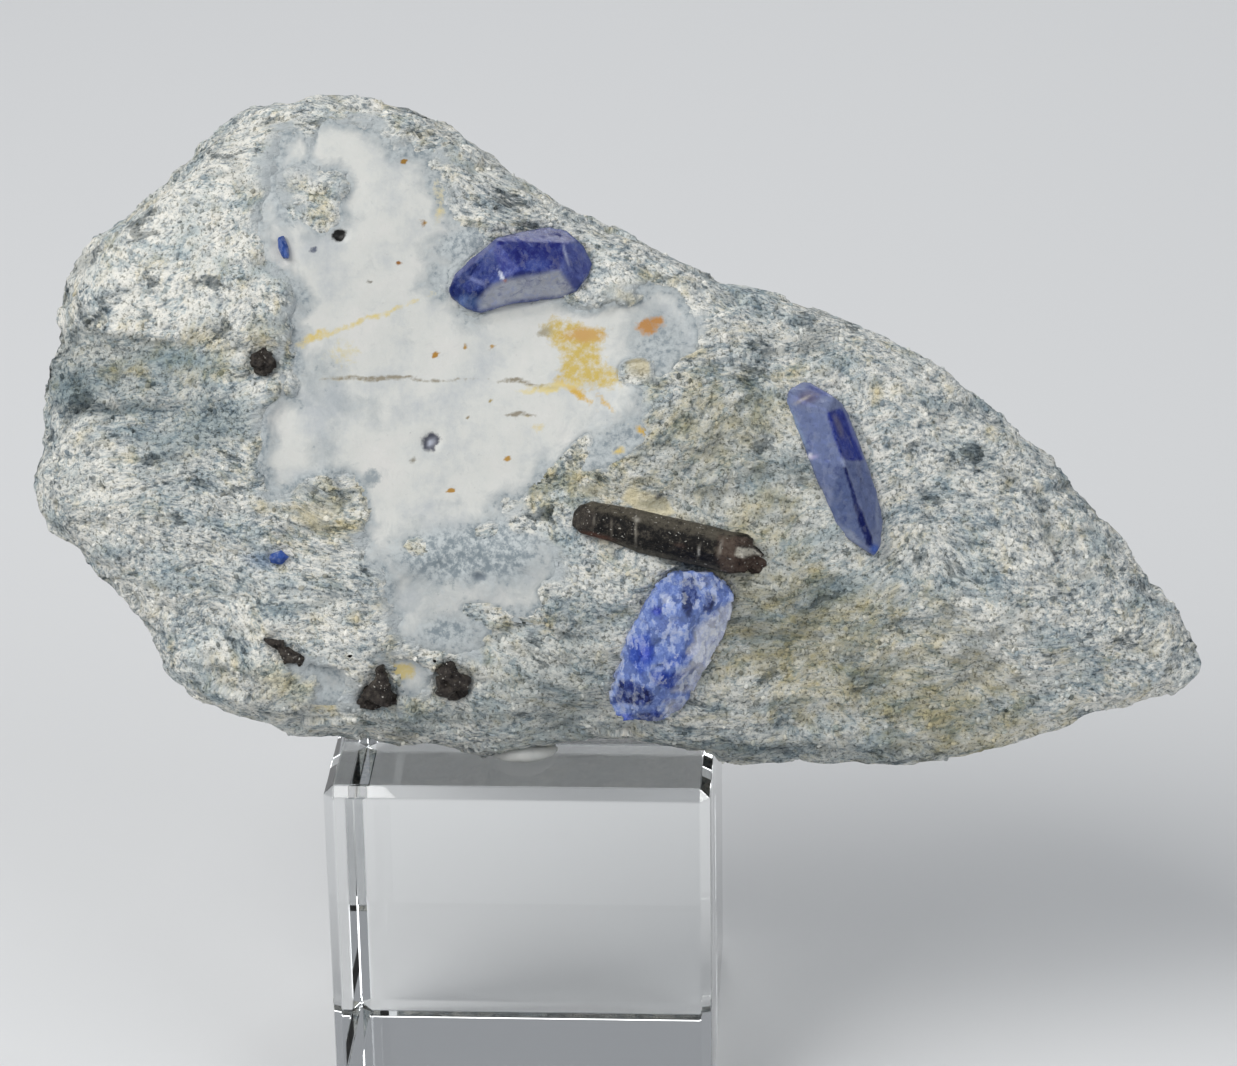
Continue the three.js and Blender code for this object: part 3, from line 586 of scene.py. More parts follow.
def benitoite_material(settings):
    """Natural benitoite: blue and vitreous, cloudy, full of fractures whose glints and reflections are
    painted into its colour.
    """
    material, tree = new_material("benitoite_natural")
    place = add(tree, "ShaderNodeAttribute", attribute_name="stone").outputs["Vector"]
    zones = add(tree, "ShaderNodeAttribute", attribute_name="paint")
    # Pale veils and darker depths, 1 mm wide
    veil = add(tree, "ShaderNodeTexNoise", {"Vector": place, "Scale": 1.1, "Detail": 6.0,
                                            "Roughness": 0.72, "Distortion": 0.5})
    veils = add(tree, "ShaderNodeMapRange", {"Value": veil.outputs["Fac"], 1: 0.54, 2: 0.75,
                                             4: 0.45})
    shade = add(tree, "ShaderNodeMapRange", {"Value": veil.outputs["Fac"], 1: 0.48, 2: 0.30,
                                             4: 0.7})
    # Splinters between inner fractures, 0.5 mm wide and 1 mm long, each with its own painted
    # reflection, from navy to a white glint
    bent = add(tree, "ShaderNodeTexNoise", {"Vector": place, "Scale": 1.1, "Detail": 6.0,
                                            "Roughness": 0.75})
    bends = add(tree, "ShaderNodeVectorMath", {0: bent.outputs["Color"], 1: (1.7, 1.7, 1.7),
                                               2: place}, operation="MULTIPLY_ADD")
    splinters = add(tree, "ShaderNodeMapping", {
        "Vector": bends.outputs[0], "Rotation": (0, math.radians(28), 0),
        "Scale": (1.0, 0.5, 0.45)}).outputs[0]
    shard = add(tree, "ShaderNodeTexVoronoi", {"Vector": splinters, "Scale": 2.0})
    chance = add(tree, "ShaderNodeSeparateColor", {"Color": shard.outputs["Color"]})
    glint = add(tree, "ShaderNodeTexNoise", {"Vector": splinters, "Scale": 3.2, "Detail": 5.0,
                                             "Roughness": 0.85})
    glints = add(tree, "ShaderNodeMath", {0: chance.outputs[0], 1: 0.34,
                                          2: glint.outputs["Fac"]}, operation="MULTIPLY_ADD")
    lit = add(tree, "ShaderNodeValToRGB", {"Fac": glints.outputs[0]},
              stops=[(0.50, rgba("#0b103c")), (0.60, rgba("#263f9e")), (0.68, rgba("#6f8ad6")),
                     (0.76, rgba("#b4c4ee")), (0.85, rgba("#f8faff"))])
    fracture_glint_mask = add(tree, "ShaderNodeAttribute", attribute_name="fracture_glints").outputs["Fac"]
    colour = blended(tree, zones.outputs["Color"], [
        (veils.outputs[0], "#8799d8", "MIX"),
        (shade.outputs[0], "#7b82b4", "MULTIPLY"),
        # Painted reflections and glints of the inner fractures
        (fracture_glint_mask, lit.outputs["Color"], "MIX"),
    ])
    # Etching of the faces, 0.3 mm
    etch = add(tree, "ShaderNodeTexNoise", {"Vector": place, "Scale": 3.2, "Detail": 3.0,
                                            "Roughness": 0.6})
    bump = add(tree, "ShaderNodeBump", {"Height": etch.outputs["Fac"], "Strength": 0.3,
                                        "Distance": 0.06 * MM})
    shader = add(tree, "ShaderNodeBsdfPrincipled",
                 {"Base Color": colour, "Roughness": 0.24, "IOR": 1.76,
                  "Transmission Weight": 0.3, "Specular IOR Level": 0.15,
                  "Specular Tint": rgba("#5f6aa8"), "Normal": bump.outputs[0]})
    absorb = add(tree, "ShaderNodeVolumeAbsorption", {"Color": (*settings.blue, 1),
                                                      "Density": 60.0})
    finish_material(tree, shader.outputs[0], absorb.outputs[0])
    return material


def neptunite_material():
    """Neptunite: near black and vitreous, dusted with white specks, red-brown where splintered."""
    material, tree = new_material("neptunite_crystal")
    place = add(tree, "ShaderNodeAttribute", attribute_name="stone").outputs["Vector"]
    zones = add(tree, "ShaderNodeAttribute", attribute_name="paint")
    # Flaws 0.5 mm wide, dusty or deeper black, and specks of 0.25 mm
    flaw = add(tree, "ShaderNodeTexNoise", {"Vector": place, "Scale": 1.9, "Detail": 7.0,
                                            "Roughness": 0.8})
    dusty = add(tree, "ShaderNodeMapRange", {"Value": flaw.outputs["Fac"], 1: 0.50, 2: 0.70,
                                             4: 0.65})
    deep = add(tree, "ShaderNodeMapRange", {"Value": flaw.outputs["Fac"], 1: 0.47, 2: 0.36})
    speck = add(tree, "ShaderNodeTexNoise", {"Vector": place, "Scale": 4.0, "Detail": 1.0})
    specks = add(tree, "ShaderNodeMapRange", {"Value": speck.outputs["Fac"], 1: 0.70, 2: 0.76})
    colour = blended(tree, zones.outputs["Color"], [
        (dusty.outputs[0], "#6a6358", "MIX"),
        (deep.outputs[0], "#55555e", "MULTIPLY"),
        (specks.outputs[0], "#b9b6ae", "MIX"),
    ])
    bump = add(tree, "ShaderNodeBump", {"Height": flaw.outputs["Fac"], "Strength": 0.7,
                                        "Distance": 0.25 * MM})
    shader = add(tree, "ShaderNodeBsdfPrincipled",
                 {"Base Color": colour, "Roughness": 0.32, "Specular IOR Level": 0.18,
                  "Normal": bump.outputs[0]})
    finish_material(tree, shader.outputs[0])
    return material


def acrylic_material():
    """Cast acrylic, polished: water clear, with a faint absorption over its depth."""
    material, tree = new_material("acrylic_polished")
    shader = add(tree, "ShaderNodeBsdfPrincipled",
                 {"Base Color": rgba("#ffffff"), "Roughness": 0.01, "IOR": 1.49,
                  "Transmission Weight": 1.0})
    absorb = add(tree, "ShaderNodeVolumeAbsorption", {"Color": rgba("#e6f2f0"), "Density": 2.0})
    finish_material(tree, shader.outputs[0], absorb.outputs[0])
    return material


def floor_material(colour):
    """Plain matt paper: an even tone without any shine."""
    material, tree = new_material("floor_paper")
    shader = add(tree, "ShaderNodeBsdfPrincipled", {"Base Color": (*colour, 1), "Roughness": 0.9,
                                                    "Specular IOR Level": 0.1})
    finish_material(tree, shader.outputs[0])
    return material


# Spots on the stone's face, in millimetres: x, z, half width, half height, turn in degrees, then
# an amount

# How many millimetres natrolite reaches further over the schist, or less far where below 0
FILM_SPOTS = [
    (-3.0, 20.5, 8.5, 4.0, 0, 5.5), (14.5, 41.5, 4.6, 5.0, 0, 4.2), (11.5, 31.5, 5.0, 3.2, 25, 5.0),
    (17.5, 30.0, 3.0, 2.0, 0, 3.0), (-21.5, 33, 2.0, 5.0, 0, 1.0), (-14, 47.5, 2.5, 2.0, 0, 1.0),
    (-2.5, 50.5, 4.0, 2.2, 20, 2.2), (-6.0, 13.0, 3.6, 1.8, 0, 2.5), (7.6, 30.2, 0.9, 2.6, -35, -9.0),
    (4.5, 26.7, 1.8, 0.9, 30, -7.0), (2.4, 23.4, 1.4, 0.8, 0, -5.0), (-1.2, 22.8, 1.3, 0.8, 20, -6.0),
    (-18.4, 61.5, 0.7, 2.2, 0, -2.6), (-14.0, 26.0, 1.2, 2.6, 20, -3.6),
    (-1.8, 18.2, 1.6, 0.6, 10, -3.5), (13.4, 45.2, 1.6, 0.7, 10, -3.0), (13.3, 38.5, 1.6, 1.4, 0, -8.0),
    (17.0, 34.5, 2.6, 1.2, 20, -6.0), (14.5, 28.6, 2.6, 0.8, -10, -6.0),
    (18.5, 38.0, 1.2, 1.6, 0, -3.0), (-20.0, 37.0, 0.7, 1.2, 0, -2.0), (5.0, 17.0, 1.4, 1.0, 0, -3.0),
    (0.8, 25.2, 0.5, 0.6, 0, -6.0), (-7.9, 21.4, 1.5, 1.2, 0, -5.5), (-1.9, 15.1, 1.8, 0.8, -10, -5.5),
    (-23.0, 47.0, 1.0, 1.6, 0, -2.0),
]
# Where the natrolite is thin and looks grey
THIN_SPOTS = [
    (-3.0, 21.0, 9.0, 2.8, 0, 0.8), (-5, 12.5, 4, 2, 0, 0.7), (15.8, 40.5, 4.2, 5.0, 0, 0.75),
    (13.0, 31.0, 8.0, 4.0, 20, 0.8), (-21.8, 40.5, 1.6, 5, 0, 0.5), (-20.8, 55, 1.5, 5, 0, 0.45),
    (-17.5, 38.3, 3.0, 2.4, 0, 0.55), (-3.0, 51.0, 4.5, 2.2, 20, 0.9), (-21, 25.5, 2.0, 2.0, 0, 0.5),
    (-15, 28, 2.0, 1.6, 0, 0.6), (2.5, 25.0, 5.0, 3.0, 30, 0.6), (-14, 35, 4, 1.2, -10, 0.35),
    (-17, 31, 1.6, 3.5, -30, 0.45), (-3, 17.5, 9, 5, 0, 0.45),
]
# Where the schist has more pale grains
PALE_SPOTS = [
    (-33, 51, 14, 12, 0, 1.0), (-38, 28, 10, 8, 0, 0.5), (-10, 8, 18, 7, 0, 0.5),
    (52, 5, 14, 9, 0, 1.0), (30, 12, 16, 10, -10, 0.45), (35, 36, 8, 10, -40, 0.5),
    (22, 45, 12, 3, -25, 0.5), (-22, 62, 6, 5, 0, 0.6),
]
# Where the schist is darker and bluer
SLATE_SPOTS = [
    (-30, 33, 8, 4, 20, 0.3), (34, 0.5, 22, 1.7, 0, 0.5), (20, 0.9, 10, 1.6, 0, 0.5),
    (20, 31, 8, 6, 0, 0.3), (45, 6, 10, 4, 0, 0.25), (5, 6, 6, 5, 0, 0.4), (8, 14, 4, 3, 0, 0.35),
    (28, 15, 7, 6, 0, 0.35),
]
# Where the schist has less contrast
DULL_SPOTS = [
    (30, 13, 17, 10, -10, 1.0), (24, 27, 9, 8, 0, 0.9), (45, 5, 9, 5, 0, 0.5), (4, 9, 9, 5, 0, 0.7),
    (-18, 4, 12, 4, 0, 0.4),
]
# Where ochre blooms on the schist
CREAM_SPOTS = [
    (30, 12, 14, 8, -10, 0.75), (46, 4, 9, 5, 0, 0.75), (22, 34, 8, 5, 20, 0.6),
    (-26, 41, 8, 3, 0, 0.5), (-16, 24, 5, 3, 0, 0.8), (8, 27, 8, 3, 0, 0.7), (24, 24, 6, 4, 0, 0.6),
    (-37, 38.5, 3, 1.2, 0, 0.7), (-29, 38, 3, 1, 0, 0.4),
]
# From here each spot holds a colour before its amount. A zone is a colour, an amount, a softness
# and its corners.

# Colours that the schist's own is multiplied with
SCHIST_TINTS = [
    (-31, 39.6, 5, 1.2, -5, "#9db5c2", 0.8), (-42, 36.5, 3, 2.5, 0, "#9db5c2", 0.7),
    (-38, 34.9, 7, 0.8, 0, "#95999a", 0.7), (-28, 33, 5, 2, 15, "#a3bac6", 0.6),
    (33, 17, 4, 1.5, 20, "#a9bdc8", 0.6), (24, 15, 2, 4, 20, "#b0b1ad", 0.6),
    (31, 27, 4, 1.0, -40, "#a8b0b2", 0.5), (-22.5, 20.0, 2.0, 0.8, 0, "#7fa6d6", 0.6),
    (54.5, 20.5, 0.25, 0.9, 25, "#4c4f51", 0.9), (-20, 8, 4, 1.5, -20, "#e6dcb4", 0.6),
    (25, 38, 1.0, 4.0, -20, "#a9b9c4", 0.5), (-6, 4.5, 7, 1.0, 0, "#a2abae", 0.6),
]
# Colours laid over the schist
SCHIST_PAINT = [
    ("#e4d8b4", 1.0, 0.25, [(11.9, 25.9), (12.6, 27.0), (14.9, 26.7), (16.6, 25.7), (17.5, 24.4),
     (16.1, 24.1), (13.6, 24.7)]),
    (14.2, 38.8, 1.6, 1.5, 0, "#cbbf9c", 0.9), (12.5, 46.0, 3.0, 1.2, 10, "#cfcbbb", 0.7),
    (-6, 53.5, 1.2, 1.5, 0, "#d0c5a4", 0.8), (9.5, 26.6, 2.4, 0.8, -10, "#c9c0a4", 0.6),
    (15.7, 26.1, 0.45, 0.4, 45, "#4d4c48", 1.2), (-17.5, 24.0, 3.0, 1.5, 10, "#cbc4ab", 0.6),
]
# Stains, veins and specks of the natrolite, and painted shade in its pits
NATROLITE_PAINT = [
    ("#c0a95a", 0.66, 0.9, [(4.2, 42.9), (5.6, 43.6), (8.2, 43.2), (10.2, 42.4), (10.0, 39.6),
     (11.6, 38.4), (12.4, 37.2), (10.6, 36.6), (8.6, 36.9), (5.6, 37.4), (6.2, 39.4)]),
    (7.7, 36.3, 2.0, 0.4, -35, "#c6a24a", 0.8), (10.4, 35.2, 0.3, 1.6, 40, "#c6a24a", 0.7),
    (4.4, 42.2, 0.9, 0.6, 0, "#9c9684", 0.9), (8.3, 41.9, 1.9, 0.7, 5, "#bd9259", 0.75),
    (4.8, 36.8, 3.0, 0.5, 8, "#d3c48c", 0.7), (14.9, 42.9, 1.6, 0.75, 20, "#b08049", 0.85),
    (14.8, 32.4, 1.6, 0.5, -20, "#c4a24e", 0.8), (11.8, 30.6, 0.7, 0.4, 0, "#cdb56c", 0.8),
    (-12.5, 43.5, 6.5, 0.3, 21, "#cfbf86", 0.65), (-18.0, 41.6, 2.0, 0.6, 25, "#cdb977", 0.6),
    (-15.0, 40.0, 2.0, 1.6, 0, "#c9bf97", 0.4), (-10.5, 37.7, 8.5, 0.24, -2, "#8d8676", 0.8),
    (2.0, 37.3, 3.5, 0.22, -6, "#8a8373", 0.75), (2.2, 34.1, 2.0, 0.2, -3, "#8b8475", 0.9),
    (4.0, 33.0, 0.9, 0.5, -25, "#cdbd8a", 0.6), (-5.8, 55, 0.6, 3.0, 5, "#cdbf90", 0.5),
    # The two spots on this line are painted shade in pits
    (-15.5, 51.6, 0.6, 0.5, 10, "#0d0c0b", 1.6), (-6.5, 31.6, 0.9, 0.95, 0, "#4a4c57", 1.2),
    (-6.5, 31.5, 0.35, 0.4, 0, "#b4b8c4", 1.1), (-9.4, 58.8, 0.3, 0.22, 0, "#8f6a26", 1.3),
    (-7.4, 53.0, 0.2, 0.4, 10, "#8d6a34", 1.2), (-9.6, 48.8, 0.28, 0.3, 0, "#8c5c22", 1.3),
    (-4.6, 26.7, 0.55, 0.2, 0, "#a87f3a", 1.3), (-12.3, 47.1, 0.3, 0.25, 0, "#7d7a70", 1.0),
    (-17.8, 50.0, 0.35, 0.35, 0, "#5b6170", 1.0), (-8.0, 29.6, 0.3, 0.4, 0, "#8b877b", 0.9),
    (-6.0, 39.9, 0.22, 0.25, 0, "#a5792f", 1.2), (-0.8, 35.4, 0.3, 0.2, 30, "#9a8a5e", 0.9),
    (-3.2, 40.8, 0.15, 0.4, 0, "#a5803a", 1.1), (-0.6, 40.8, 0.2, 0.3, 0, "#a5803a", 1.0),
    (1.0, 29.8, 0.25, 0.3, 20, "#a9823c", 1.1), (-3.0, 33.8, 0.2, 0.2, 0, "#8c8168", 1.0),
    # The first spot on this line is painted shade in a pit
    (-1.8, 18.3, 0.7, 0.6, 0, "#6e7880", 0.9), (-21.4, 45.0, 1.0, 4.0, 0, "#9aa5ab", 0.6),
    (-12.4, 27.9, 0.8, 0.9, 0, "#8f979b", 0.8), (-9.3, 9.0, 1.4, 1.0, 0, "#c2b27c", 0.8),
]
# Each large benitoite's own colour, and the facets and flaws over it, with painted glints among them
BENITOITE_PAINT = {
    "benitoite_upper": ("#48568f", [
        ("#6c7098", 0.9, 0.15, [(-5.0, 47.2), (-0.2, 51.4), (0.1, 51.0), (-0.4, 50.4), (-2.2, 48.8),
         (-4.2, 47.2)]),
        ("#232763", 0.95, 0.2, [(0.1, 51.6), (1.9, 52.2), (4.3, 52.6), (6.2, 52.1), (7.3, 51.4),
         (6.8, 51.0), (1.9, 51.4), (0.1, 51.1)]),
        ("#2d3178", 1.0, 0.12, [(0.1, 51.1), (1.9, 51.4), (6.6, 51.0), (6.8, 50.7), (6.4, 49.3),
         (6.0, 48.2), (3.5, 47.6), (2.0, 47.5), (1.0, 47.2), (0.3, 48.1), (-0.4, 49.9)]),
        ("#545c9a", 0.9, 0.2, [(6.9, 50.9), (8.1, 50.6), (8.9, 49.4), (9.2, 48.4), (8.4, 47.3),
         (7.3, 46.2), (6.0, 48.2), (6.4, 49.3)]),
        ("#182460", 0.95, 0.2, [(-4.9, 46.9), (-2.2, 48.8), (-0.4, 49.9), (0.3, 48.0), (-0.4, 46.9),
         (-1.4, 45.6), (-3.2, 44.7), (-4.5, 45.4)]),
        ("#c4c7cd", 0.95, 0.35, [(-0.4, 46.6), (1.1, 47.1), (3.5, 47.6), (6.0, 48.1), (7.3, 46.2),
         (6.2, 45.6), (3.5, 45.4), (1.5, 45.1), (-0.4, 44.5), (-1.7, 44.3), (-2.1, 45.1)]),
        (3.6, 48.4, 1.6, 0.7, 10, "#4a5aa4", 0.7), (-2.9, 45.1, 1.4, 0.6, 0, "#5672a8", 0.8),
        (-1.9, 47.0, 1.3, 0.22, -25, "#8a91b8", 0.7), (6.6, 49.8, 0.14, 1.3, 14, "#aeb4d2", 0.85),
        # A painted glint, white, with its orange tinge as the first spot on the next line
        ("#f2f6ff", 1.0, 0.08, [(0.0, 48.2), (0.4, 47.8), (0.8, 47.1), (0.3, 47.15)]),
        (0.75, 47.0, 0.2, 0.15, 0, "#c98d72", 0.8), (-3.3, 48.9, 3.0, 0.14, 41, "#c6d2cf", 0.9),
        (5.6, 51.3, 2.4, 0.25, -8, "#77799c", 0.6),
    ]),
    "benitoite_right": ("#7f89a8", [
        ("#2e3a8e", 1.0, 0.15, [(31.9, 34.3), (33.4, 34.8), (34.4, 33.0), (35.6, 29.7), (34.4, 29.6),
         (33.4, 29.7), (32.4, 32.1)]),
        ("#7682a6", 0.9, 0.25, [(28.2, 35.6), (29.4, 34.6), (31.7, 34.0), (33.2, 29.5), (32.6, 27.0),
         (31.2, 27.2), (29.2, 31.6)]),
        ("#5c6a90", 0.9, 0.25, [(33.3, 29.4), (32.4, 26.6), (32.4, 24.6), (34.0, 22.3), (35.6, 21.6),
         (34.8, 25.0)]),
        ("#6c789f", 0.9, 0.2, [(33.7, 29.5), (35.7, 29.4), (37.2, 25.6), (37.1, 23.4), (36.2, 22.8),
         (34.9, 26.0)]),
        ("#161c50", 1.0, 0.1, [(33.4, 29.0), (33.7, 29.0), (35.2, 25.0), (36.3, 22.3), (36.5, 21.0),
         (35.8, 21.4), (35.0, 23.6), (34.2, 26.4)]),
        (33.1, 33.0, 0.35, 1.2, 22, "#6f6a82", 0.8), (30.2, 35.9, 1.3, 0.7, 20, "#6b6178", 0.8),
        (29.6, 35.6, 0.9, 0.18, 30, "#c3bcb4", 0.8), (31.2, 36.5, 1.3, 0.3, -25, "#4c5792", 0.8),
        (36.6, 21.0, 0.5, 0.5, 0, "#3d62b8", 0.9), (34.4, 22.3, 1.3, 0.35, -40, "#a2abba", 0.7),
        # The first two spots on this line are a painted glint and its glow
        (30.3, 30.1, 0.22, 0.3, 0, "#f4f2fb", 1.0), (30.6, 30.0, 0.5, 0.2, 10, "#c9bfe0", 0.6),
        (33.5, 29.5, 0.3, 0.4, 0, "#a9b4d4", 0.8), (33.0, 31.4, 0.1, 2.4, 22, "#1f2a6c", 0.8),
        (29.1, 32.9, 0.2, 2.4, 23, "#98abc4", 0.7), (36.9, 24.6, 0.2, 1.6, 0, "#a8b2c8", 0.6),
        (34.6, 32.2, 0.15, 2.2, 22, "#8b92c4", 0.5),
    ]),
    "benitoite_lower": ("#8ea6e2", [
        ("#f2f4f6", 1.0, 0.3, [(19.2, 13.2), (23.4, 16.6), (23.2, 13.8), (21.2, 10.4), (19.4, 6.9),
         (16.9, 7.2), (17.9, 9.0), (18.8, 10.4)]),
        ("#868fa6", 0.8, 0.2, [(17.1, 7.5), (19.4, 9.8), (19.2, 9.0), (18.4, 7.2)]),
        ("#d5dae2", 0.95, 0.3, [(16.2, 6.4), (18.8, 6.4), (18.0, 5.0), (16.5, 4.0)]),
        ("#3f60cc", 0.9, 0.3, [(12.8, 12.4), (14.7, 13.0), (15.3, 10.4), (13.9, 8.9), (12.7, 10.4)]),
        ("#2340a6", 0.95, 0.2, [(14.7, 9.3), (18.2, 9.0), (17.0, 7.4), (15.2, 7.9)]),
        ("#242858", 1.0, 0.2, [(11.8, 8.4), (13.6, 8.2), (15.3, 6.9), (15.0, 5.8), (11.2, 6.0)]),
        ("#3c5fe6", 1.0, 0.15, [(10.9, 4.9), (13.0, 4.9), (13.4, 3.3), (12.2, 2.7), (11.0, 3.7)]),
        ("#262c6c", 1.0, 0.15, [(13.5, 5.0), (16.2, 5.0), (16.1, 3.4), (13.9, 2.9)]),
        ("#454c6c", 0.9, 0.15, [(17.9, 18.3), (19.1, 18.6), (19.4, 16.5), (18.5, 14.2), (17.8, 15.4)]),
        ("#4c5272", 0.9, 0.15, [(20.2, 17.1), (21.1, 16.5), (20.8, 14.8), (19.9, 15.1)]),
        # The zones on this line and the next three are painted glints
        ("#e6eefc", 1.0, 0.1, [(15.7, 16.9), (16.6, 16.8), (16.6, 15.9), (16.0, 16.0)]),
        ("#fbfcff", 1.0, 0.08, [(18.2, 11.0), (18.9, 11.9), (19.7, 11.8), (19.5, 11.1), (18.5, 10.7)]),
        ("#c8d2ee", 0.8, 0.15, [(17.0, 13.7), (18.2, 12.8), (18.0, 12.6), (16.9, 13.2)]),
        ("#f4f6fb", 1.0, 0.08, [(16.3, 5.6), (17.0, 5.8), (17.1, 5.2), (16.5, 5.1)]),
        # The second spot on this line, near white, is a painted glint
        (15.4, 15.1, 0.45, 0.5, 0, "#262ec8", 1.0), (12.4, 3.6, 0.3, 0.25, 0, "#e8f0ff", 1.0),
        (15.3, 5.0, 0.4, 0.3, 0, "#2c48ba", 0.9), (14.7, 4.2, 0.6, 0.5, 0, "#7f8ab4", 0.8),
        (17.3, 10.3, 1.4, 0.6, 20, "#2e54c4", 0.7), (16.6, 13.9, 1.2, 0.8, 30, "#9fb2ea", 0.6),
        (11.6, 9.6, 0.3, 3.4, -17, "#a9b3c6", 0.8), (18.6, 17.7, 1.6, 0.3, -10, "#7c86a4", 0.7),
        (14.2, 11.0, 0.5, 0.8, 0, "#4a52e0", 0.7), (20.4, 18.0, 1.6, 0.4, -15, "#9ba6be", 0.7),
    ]),
}
# The benitoite specks are of one colour
SPECK_PAINT = ("#3c5ca4", [])
# How strongly the painted glints of inner fractures show, and how deep the surface is chipped, in
# millimetres
BENITOITE_GLINTS_AND_CHIPS = {"benitoite_upper": (0.1, 0.07), "benitoite_right": (0.06, 0.08),
                    "benitoite_lower": (0.42, 0.3)}
SPECK_GLINTS_AND_CHIPS = (0.2, 0.05)
# Facets, splinters and scratches of the neptunite. Its top and lower bevels are grey-brown, partly
# their own dull tone and partly painted sheen
NEPTUNITE_PAINT = [
    # Top bevel: partly its own grey-brown, partly painted sheen
    ("#575248", 0.85, 0.25, [(8.6, 25.6), (9.1, 25.9), (15.2, 24.7), (23.2, 22.7), (22.8, 21.7),
     (19.8, 22.3), (15.2, 23.3), (10.0, 24.7), (8.7, 24.9)]),
    # Lower bevel: partly its own grey-brown, partly painted sheen
    ("#4d4a42", 0.75, 0.25, [(11.6, 21.9), (13.6, 21.2), (16.6, 20.5), (18.9, 19.9), (22.0, 19.4),
     (22.0, 18.7), (18.8, 19.0), (13.5, 20.2), (11.6, 21.2)]),
    ("#3e3833", 0.7, 0.3, [(7.0, 24.0), (8.6, 25.4), (9.6, 24.8), (9.4, 23.0), (8.0, 22.6)]),
    ("#54463d", 0.85, 0.35, [(21.4, 22.4), (23.2, 22.2), (23.4, 20.6), (23.0, 18.8), (21.8, 18.8),
     (21.2, 20.4)]),
    ("#4c3f37", 0.9, 0.15, [(22.9, 22.2), (25.2, 21.7), (24.9, 21.2), (23.2, 21.4)]),
    ("#d6d1c3", 1.0, 0.12, [(23.2, 21.2), (24.9, 21.1), (25.5, 20.5), (23.6, 20.2), (23.1, 20.5)]),
    ("#3f3029", 0.9, 0.2, [(23.0, 20.3), (25.8, 20.5), (26.2, 19.3), (25.2, 18.8), (23.0, 18.8)]),
    (9.6, 22.3, 1.7, 0.25, -12, "#5e3b2e", 0.7), (9.4, 23.9, 0.10, 1.0, -6, "#6c675e", 0.8),
    (11.1, 23.3, 0.10, 1.3, -4, "#615b52", 0.8), (13.4, 22.9, 0.13, 1.5, 0, "#807b71", 0.9),
    (13.5, 23.9, 0.3, 0.25, 0, "#a9a59b", 0.8), (19.5, 20.9, 0.10, 0.6, -10, "#b5b2ab", 0.8),
    (21.6, 21.3, 0.15, 0.8, -10, "#9a948a", 0.7), (17.6, 21.4, 0.6, 0.2, -14, "#4c3a33", 0.6),
]
# Where along x the neptunite prism turns from smooth to splintered
PRISM_BREAK = (22.5, 24.5)
# Where its splintered end dips, in millimetres
BREAKS = [(24.4, 20.7, 1.3, 0.45, -5, 0.5), (26.4, 22.4, 1.6, 1.3, -20, 4.0)]
# Small open pits in the natrolite, as shares of the full depth of one
PITS = [
    (-15.5, 51.6, 0.6, 0.5, 0, 1.0), (-6.5, 31.6, 0.7, 0.8, 0, 0.7), (-1.8, 18.3, 0.6, 0.6, 0, 0.7),
]
# Recessed band at the left: its end, its lower edge, its upper edge at the end, and its depth
BAND_END = -26.0
BAND_LOW = 34.8
BAND_HIGH = 41.0
BAND_SLOPE = -0.12
BAND_DEPTH = 1.0 * MM
# The stone's front: what its surface's outward part towards the viewer is over, for the finer mesh
# and for the rims of sockets
FRONT_FROM = -0.12
SEEN_FROM = 0.4
# Pockets: their growth over the rock, the border's shift in millimetres, how far from one its
# natrolite and its crust reach in millimetres, the crust's height, and how deep schist and
# natrolite dip under each other
POCKET_GROWTH = 0.25 * MM
BORDER_SHIFT = 0.3
NATROLITE_REACH = 9.0
CRUST_REACH = 6
CRUST_RISE = 0.15 * MM
BURIED = 0.22 * MM
# Sheet of natrolite: its thickness, and the angle from which an edge of it stays sharp
SHEET_DEPTH = 2.5 * MM
SHARP_FROM = math.radians(50)
# Sockets, in millimetres: the rim beside a crystal's outline, the ring beyond it that the cover is
# stretched from, how far behind that ring a socket reaches, the bead of rock against a large
# crystal, the bowl under it, and the dip round a small one
SOCKET_RIM = 1.1
RING_WIDTH = 1.2
SOCKET_REACH = 4.5
BEAD_HEIGHT = 0.25
BOWL_DEPTH = 0.8
SMALL_SOCKET = 0.45
# Relief beside the settings: ledges of the schist with their spacing in millimetres and their
# shares of slope and drop, then pits and waves of the natrolite
LEDGE_HEIGHT = 0.16 * MM
LEDGE_SPACING = 3.1
LEDGE_SLOPE = 0.85
LEDGE_DROP = 0.15
PIT_DEPTH = 0.6 * MM
WAVE_HEIGHT = 0.15 * MM
# Grains: the widest turn about each axis in radians, and their least and largest shares of size
FULL_TURNS = (6.3, 6.3, 6.3)
LEAST_GRAIN = (0.4, 0.4, 0.4)
LARGEST_GRAIN = (1.2, 0.8, 1.0)
# The clear block: how far beside it the stone is still kept above it, and by how much
BLOCK_MARGIN = 0.5 * MM
BLOCK_GAP = 0.12 * MM
# The natrolite foot: its gap above the block, and its growth over its solid
FOOT_GAP = 0.1 * MM
FOOT_GROWTH = 0.2 * MM
# More millimetres than any distance on the stone's face that matters
FAR_OFF = 99.0
# Floor: half its width in metres, and how far it lies under the block's foot
FLOOR_REACH = 3.0
FLOOR_DROP = 0.15 * MM
# Lights: place and size in millimetres, share of the key light's power, and colour
LIGHTS = {
    "key": ((-420, -380, 680), (560, 520), 1.0, (1.0, 0.99, 0.97)),
    "fill": ((560, -480, 420), (420, 420), 0.28, (0.96, 0.98, 1.0)),
    "rim": ((60, 600, 560), (600, 300), 0.3, (1.0, 1.0, 1.0)),
}
# The middle of the stone, which all of them aim at
LIGHT_AIM_MM = (5, 0, 65)
SKY_COLOUR = (0.9, 0.94, 1.0, 1)
SKY_STRENGTH = 0.3


